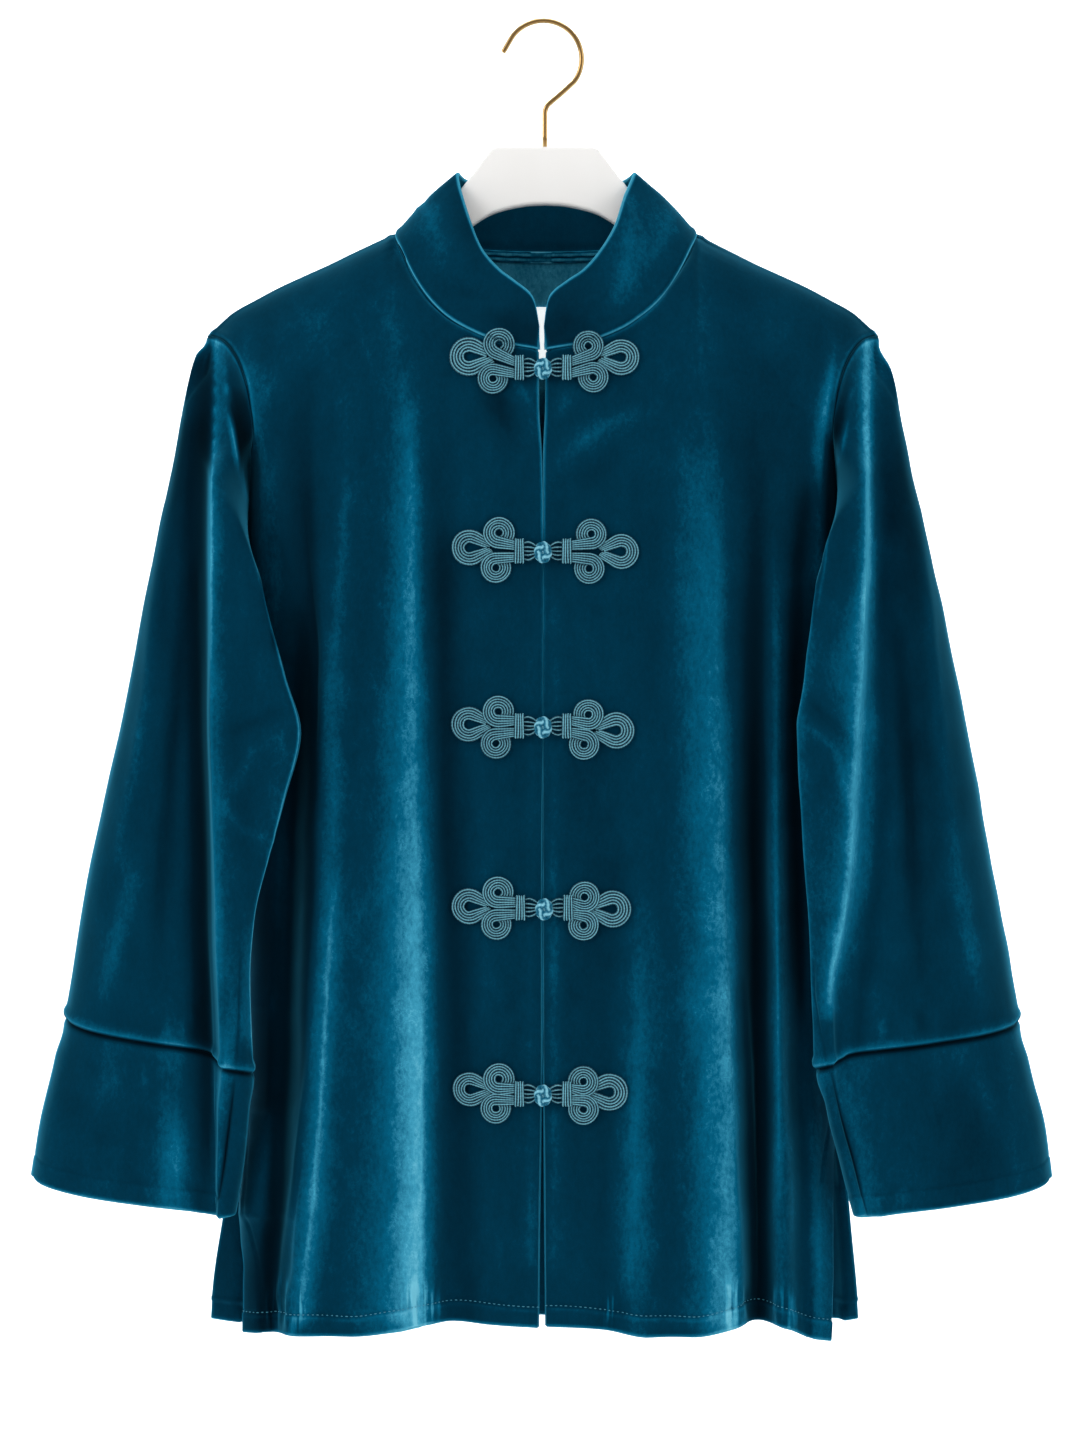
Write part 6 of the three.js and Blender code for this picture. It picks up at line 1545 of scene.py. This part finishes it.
def finish_knot(number, place):
    """A ball button: three rounds of cord plaited over and under, four lobes about its front."""
    y = min(seat("right", place[0] - 2, place[1]), seat("left", place[0] + 2, place[1])) - 0.3 - 4.2
    t = np.linspace(0, 6 * np.pi, 300, endpoint=False)
    lat, out = math.radians(58) * np.cos(4 * t / 3), 1 + 0.12 * np.sin(8 * t / 3)
    ball = np.stack([np.cos(lat) * np.cos(t + 0.4), -np.sin(lat), np.cos(lat) * np.sin(t + 0.4)], -1)
    path = KNOT * out[:, None] * ball
    a = np.linspace(0, np.pi, 10)
    core = np.stack([0 * a, 0 * a, -4.6 * np.cos(a)], -1)
    tubes = [tube(path, 2.0, path / KNOT ** 2, 10, closed=True, flat=0.78),
             tube(core, 0.3 + 2.6 * np.sin(a), TOWARD_EYE, 10)]
    tubes = [(points + [place[0], y, place[1]], *rest) for points, *rest in tubes]
    fit(bundle(f"frog_{number}_knot_cord", tubes, knot_cord, (0.75, 0.0)), f"frog_{number}_knot")


for number, (place, right_loops, left_loops) in enumerate(FROGS, 1):
    finish_frog(number, "right", place, right_loops)
    finish_frog(number, "left", place, left_loops)
    finish_knot(number, place)


# ------------------------------------------------------------------ hanger
# A plain white lacquered hanger board, broad at the neck with an arched lower edge and arms that follow the
# shoulders, and a hook of round polished brass-coloured wire set into its top.
HANGER_EDGE = track(["x", "top", "low"], [[0, -83.4, -122], [10, -83.4, -122.5], [20, -83.4, -124],
    [30, -83.4, -126.5], [35, -84.6, -128.2], [38, -88, -129.6], [48, -101.3, -135.8], [55.8, -111, -142],
    [62, -118.5, -147.6], [80, -131.5, -160], [100, -145.5, -171], [150, -164, -191], [190, -185, -209],
    [207, -197, -214]])


# Where an arm ends, and half the board's thickness.
ARM_END, BOARD_HALF = 207, 6


def finish_hanger():
    near = np.concatenate([np.linspace(0, 30, 16), np.linspace(31, 39, 9), np.linspace(41, 112, 24),
                           np.linspace(117, 186, 14), [192, 198, 202, 204.5, 206, 206.7, ARM_END]])
    x = np.concatenate([-near[::-1], near[1:]])
    a = np.abs(x)
    x = x + 1.2 * (1 - smooth(60, 100, a))
    top, low = HANGER_EDGE["top"](a), HANGER_EDGE["low"](a)
    under_cloth = SHOULDER(np.abs(x)) - (CLOTH + 0.55) * 1.17
    top = lerp(top, under_cloth, smooth(96, 104, a) * (a > 96))
    top += -4 * bell(a - 101, 11) + 1.2 * smooth(185, 204, a)
    close = np.sqrt(np.clip((ARM_END - a) / 3, 0, 1)) * 0.5 + 0.5
    half = BOARD_HALF * close
    top, low = top - 7 * (1 - close), low + 7 * (1 - close)
    r = np.minimum(lerp(2.6, 5.9, smooth(56, 92, a)), np.minimum(half, (top - low) / 2) - 0.02)
    rings = []
    for cy, cz, start in ((-1, 1, 180), (1, 1, 90), (1, -1, 0), (-1, -1, -90)):
        for deg in np.linspace(start, start - 90, 7):
            c, s = math.cos(math.radians(deg)), math.sin(math.radians(deg))
            z = np.where(cz > 0, top - r, low + r) + r * s
            rings.append(np.stack([x, cy * (half - r) + r * c, z], -1))
    p = np.stack(rings, 1)
    n, m = p.shape[:2]
    i, k = np.meshgrid(np.arange(n - 1), np.arange(m), indexing="ij")
    at = lambda i, k: i * m + k % m
    faces = np.stack([at(i, k), at(i, k + 1), at(i + 1, k + 1), at(i + 1, k)], -1).reshape(-1, 4).tolist()
    faces += [list(range(m)), [(n - 1) * m + k for k in range(m)][::-1]]
    f = Finish("white_lacquer")
    where = f.position()
    cloud, fine = f.noise(where, 14, 3, 0.5, (1.6, 1, 0.3)), f.noise(where, 900, 2, 0.5)
    colour = f.mix((cloud * 1.6 - 0.4).clip(), rgb(253, 252, 250), rgb(249, 247, 244))
    body = f.principled({"Base Color": colour, "Roughness": (cloud * 0.12 + 0.36).clip(),
                         "Specular IOR Level": 0.3, "Normal": f.bump(0.15, 0.0002, fine)})
    board = (p.reshape(-1, 3), faces, np.zeros(n * m), np.zeros(n * m))
    return bundle("hanger_board", [board], f.close(body), [0])


# The radius of the hook's bow, and of its wire.
BOW, WIRE = 25.7, 1.9
# Out and up from the board's top to the start of the bow.
KNEE = [(1.3, -83.1), (1.3, -76), (1.3, -70), (1.3, -64), (1.3, -60.5), (1.5, -58.4), (2.2, -56.5),
        (3.2, -54.9), (4.8, -53.4), (7.6, -51.0), (11, -48.2), (14.4, -45.2)]


def finish_hook():
    a = np.radians(np.linspace(-42, 150, 84))
    arc = [0.3, 0, -BOW + WIRE] + BOW * np.stack([np.cos(a), 0 * a, np.sin(a)], -1)
    arc = np.concatenate([arc, arc[-1] + np.array([-0.5, 0, -0.866]) * np.linspace(0.8, 9.0, 8)[:, None]])
    end = unit((arc[-1] - arc[-2])[None])[0]
    tip = [arc[-1] + end * d for d in (0.5, 0.9, 1.15)]
    path = np.concatenate([[(u, 0, v) for u, v in KNEE], arc[2:], tip])
    radius = np.concatenate([np.full(len(path) - 3, WIRE), [1.75, 1.35, 0.7]])
    f = Finish("gold_wire")
    where = f.position()
    haze, draw = f.noise(where, 90, 3, 0.6), f.noise(where, 1400, 2, 0.6)
    # painted reflection: darker in the wire's middle for the dim room on the viewer's side, paler at its
    # sides
    core = f.mix(haze, rgb(168, 134, 84), rgb(146, 112, 66))
    body = f.principled({"Base Color": f.mix((f.facing() * 4.2 - 0.35).clip(), core, rgb(232, 206, 158)),
                         "Metallic": 1.0, "Roughness": (haze * 0.14 + draw * 0.08 + 0.12).clip()})
    return bundle("hook_wire", [tube(path, radius, TOWARD_EYE, 18)], f.close(body), [0])


fit(finish_hanger(), "hanger_body")
fit(finish_hook(), "hanger_hook")


# ------------------------------------------------------------------ floor and light
# A pale sweep well below the hanging jacket, and the even light of a white studio.
SWEEP_BACK, SWEEP_FLOOR, SWEEP_ROUND, SWEEP_SIDE = 2.2, -1.35, 0.9, 5
sweep_profile = [(-4.5, SWEEP_FLOOR), (SWEEP_BACK, SWEEP_FLOOR)]
for turn in np.linspace(0, math.pi / 2, 18)[1:]:
    sweep_profile.append((SWEEP_BACK + SWEEP_ROUND * math.sin(turn),
                          SWEEP_FLOOR + SWEEP_ROUND - SWEEP_ROUND * math.cos(turn)))
sweep_profile.append((SWEEP_BACK + SWEEP_ROUND, 4.0))
sweep_mesh = bpy.data.meshes.new("studio_sweep")
sweep_mesh.from_pydata([(x, y, z) for y, z in sweep_profile for x in (-SWEEP_SIDE, SWEEP_SIDE)], [],
                       [(2 * i, 2 * i + 1, 2 * i + 3, 2 * i + 2) for i in range(len(sweep_profile) - 1)])
sweep_mesh.shade_smooth()
sweep = bpy.data.objects.new("studio_sweep", sweep_mesh)
scene.collection.objects.link(sweep)
paper = Finish("studio_paper")
matt = paper.principled({"Base Color": (0.93, 0.93, 0.93, 1), "Roughness": 0.9})
sweep_mesh.materials.append(paper.close(matt))

world = bpy.data.worlds.new("white_room")
world.use_nodes = True
room = world.node_tree.nodes["Background"].inputs
room["Color"].default_value, room["Strength"].default_value = (1, 1, 1, 1), 0.50
scene.world = world


def softbox(name, where, toward, size, power):
    light = bpy.data.lights.new(name, "AREA")
    light.shape, light.size, light.size_y, light.energy = "RECTANGLE", size[0], size[1], power
    lamp = bpy.data.objects.new(name, light)
    lamp.location = where
    lamp.rotation_euler = (Vector(toward) - Vector(where)).to_track_quat("-Z", "Y").to_euler()
    scene.collection.objects.link(lamp)


softbox("key_left", (-2.3, -1.6, 0.7), (0, 0, -0.45), (1.2, 1.8), 30)
softbox("fill_right", (2.4, -1.4, 0.4), (0, 0, -0.45), (1.2, 1.8), 18)
softbox("top", (0, -0.4, 2.0), (0, 0, -0.4), (2.2, 1.6), 14)
softbox("paper_wash", (0, 1.7, 1.75), (0, 3.1, -0.7), (3.6, 0.7), 150)
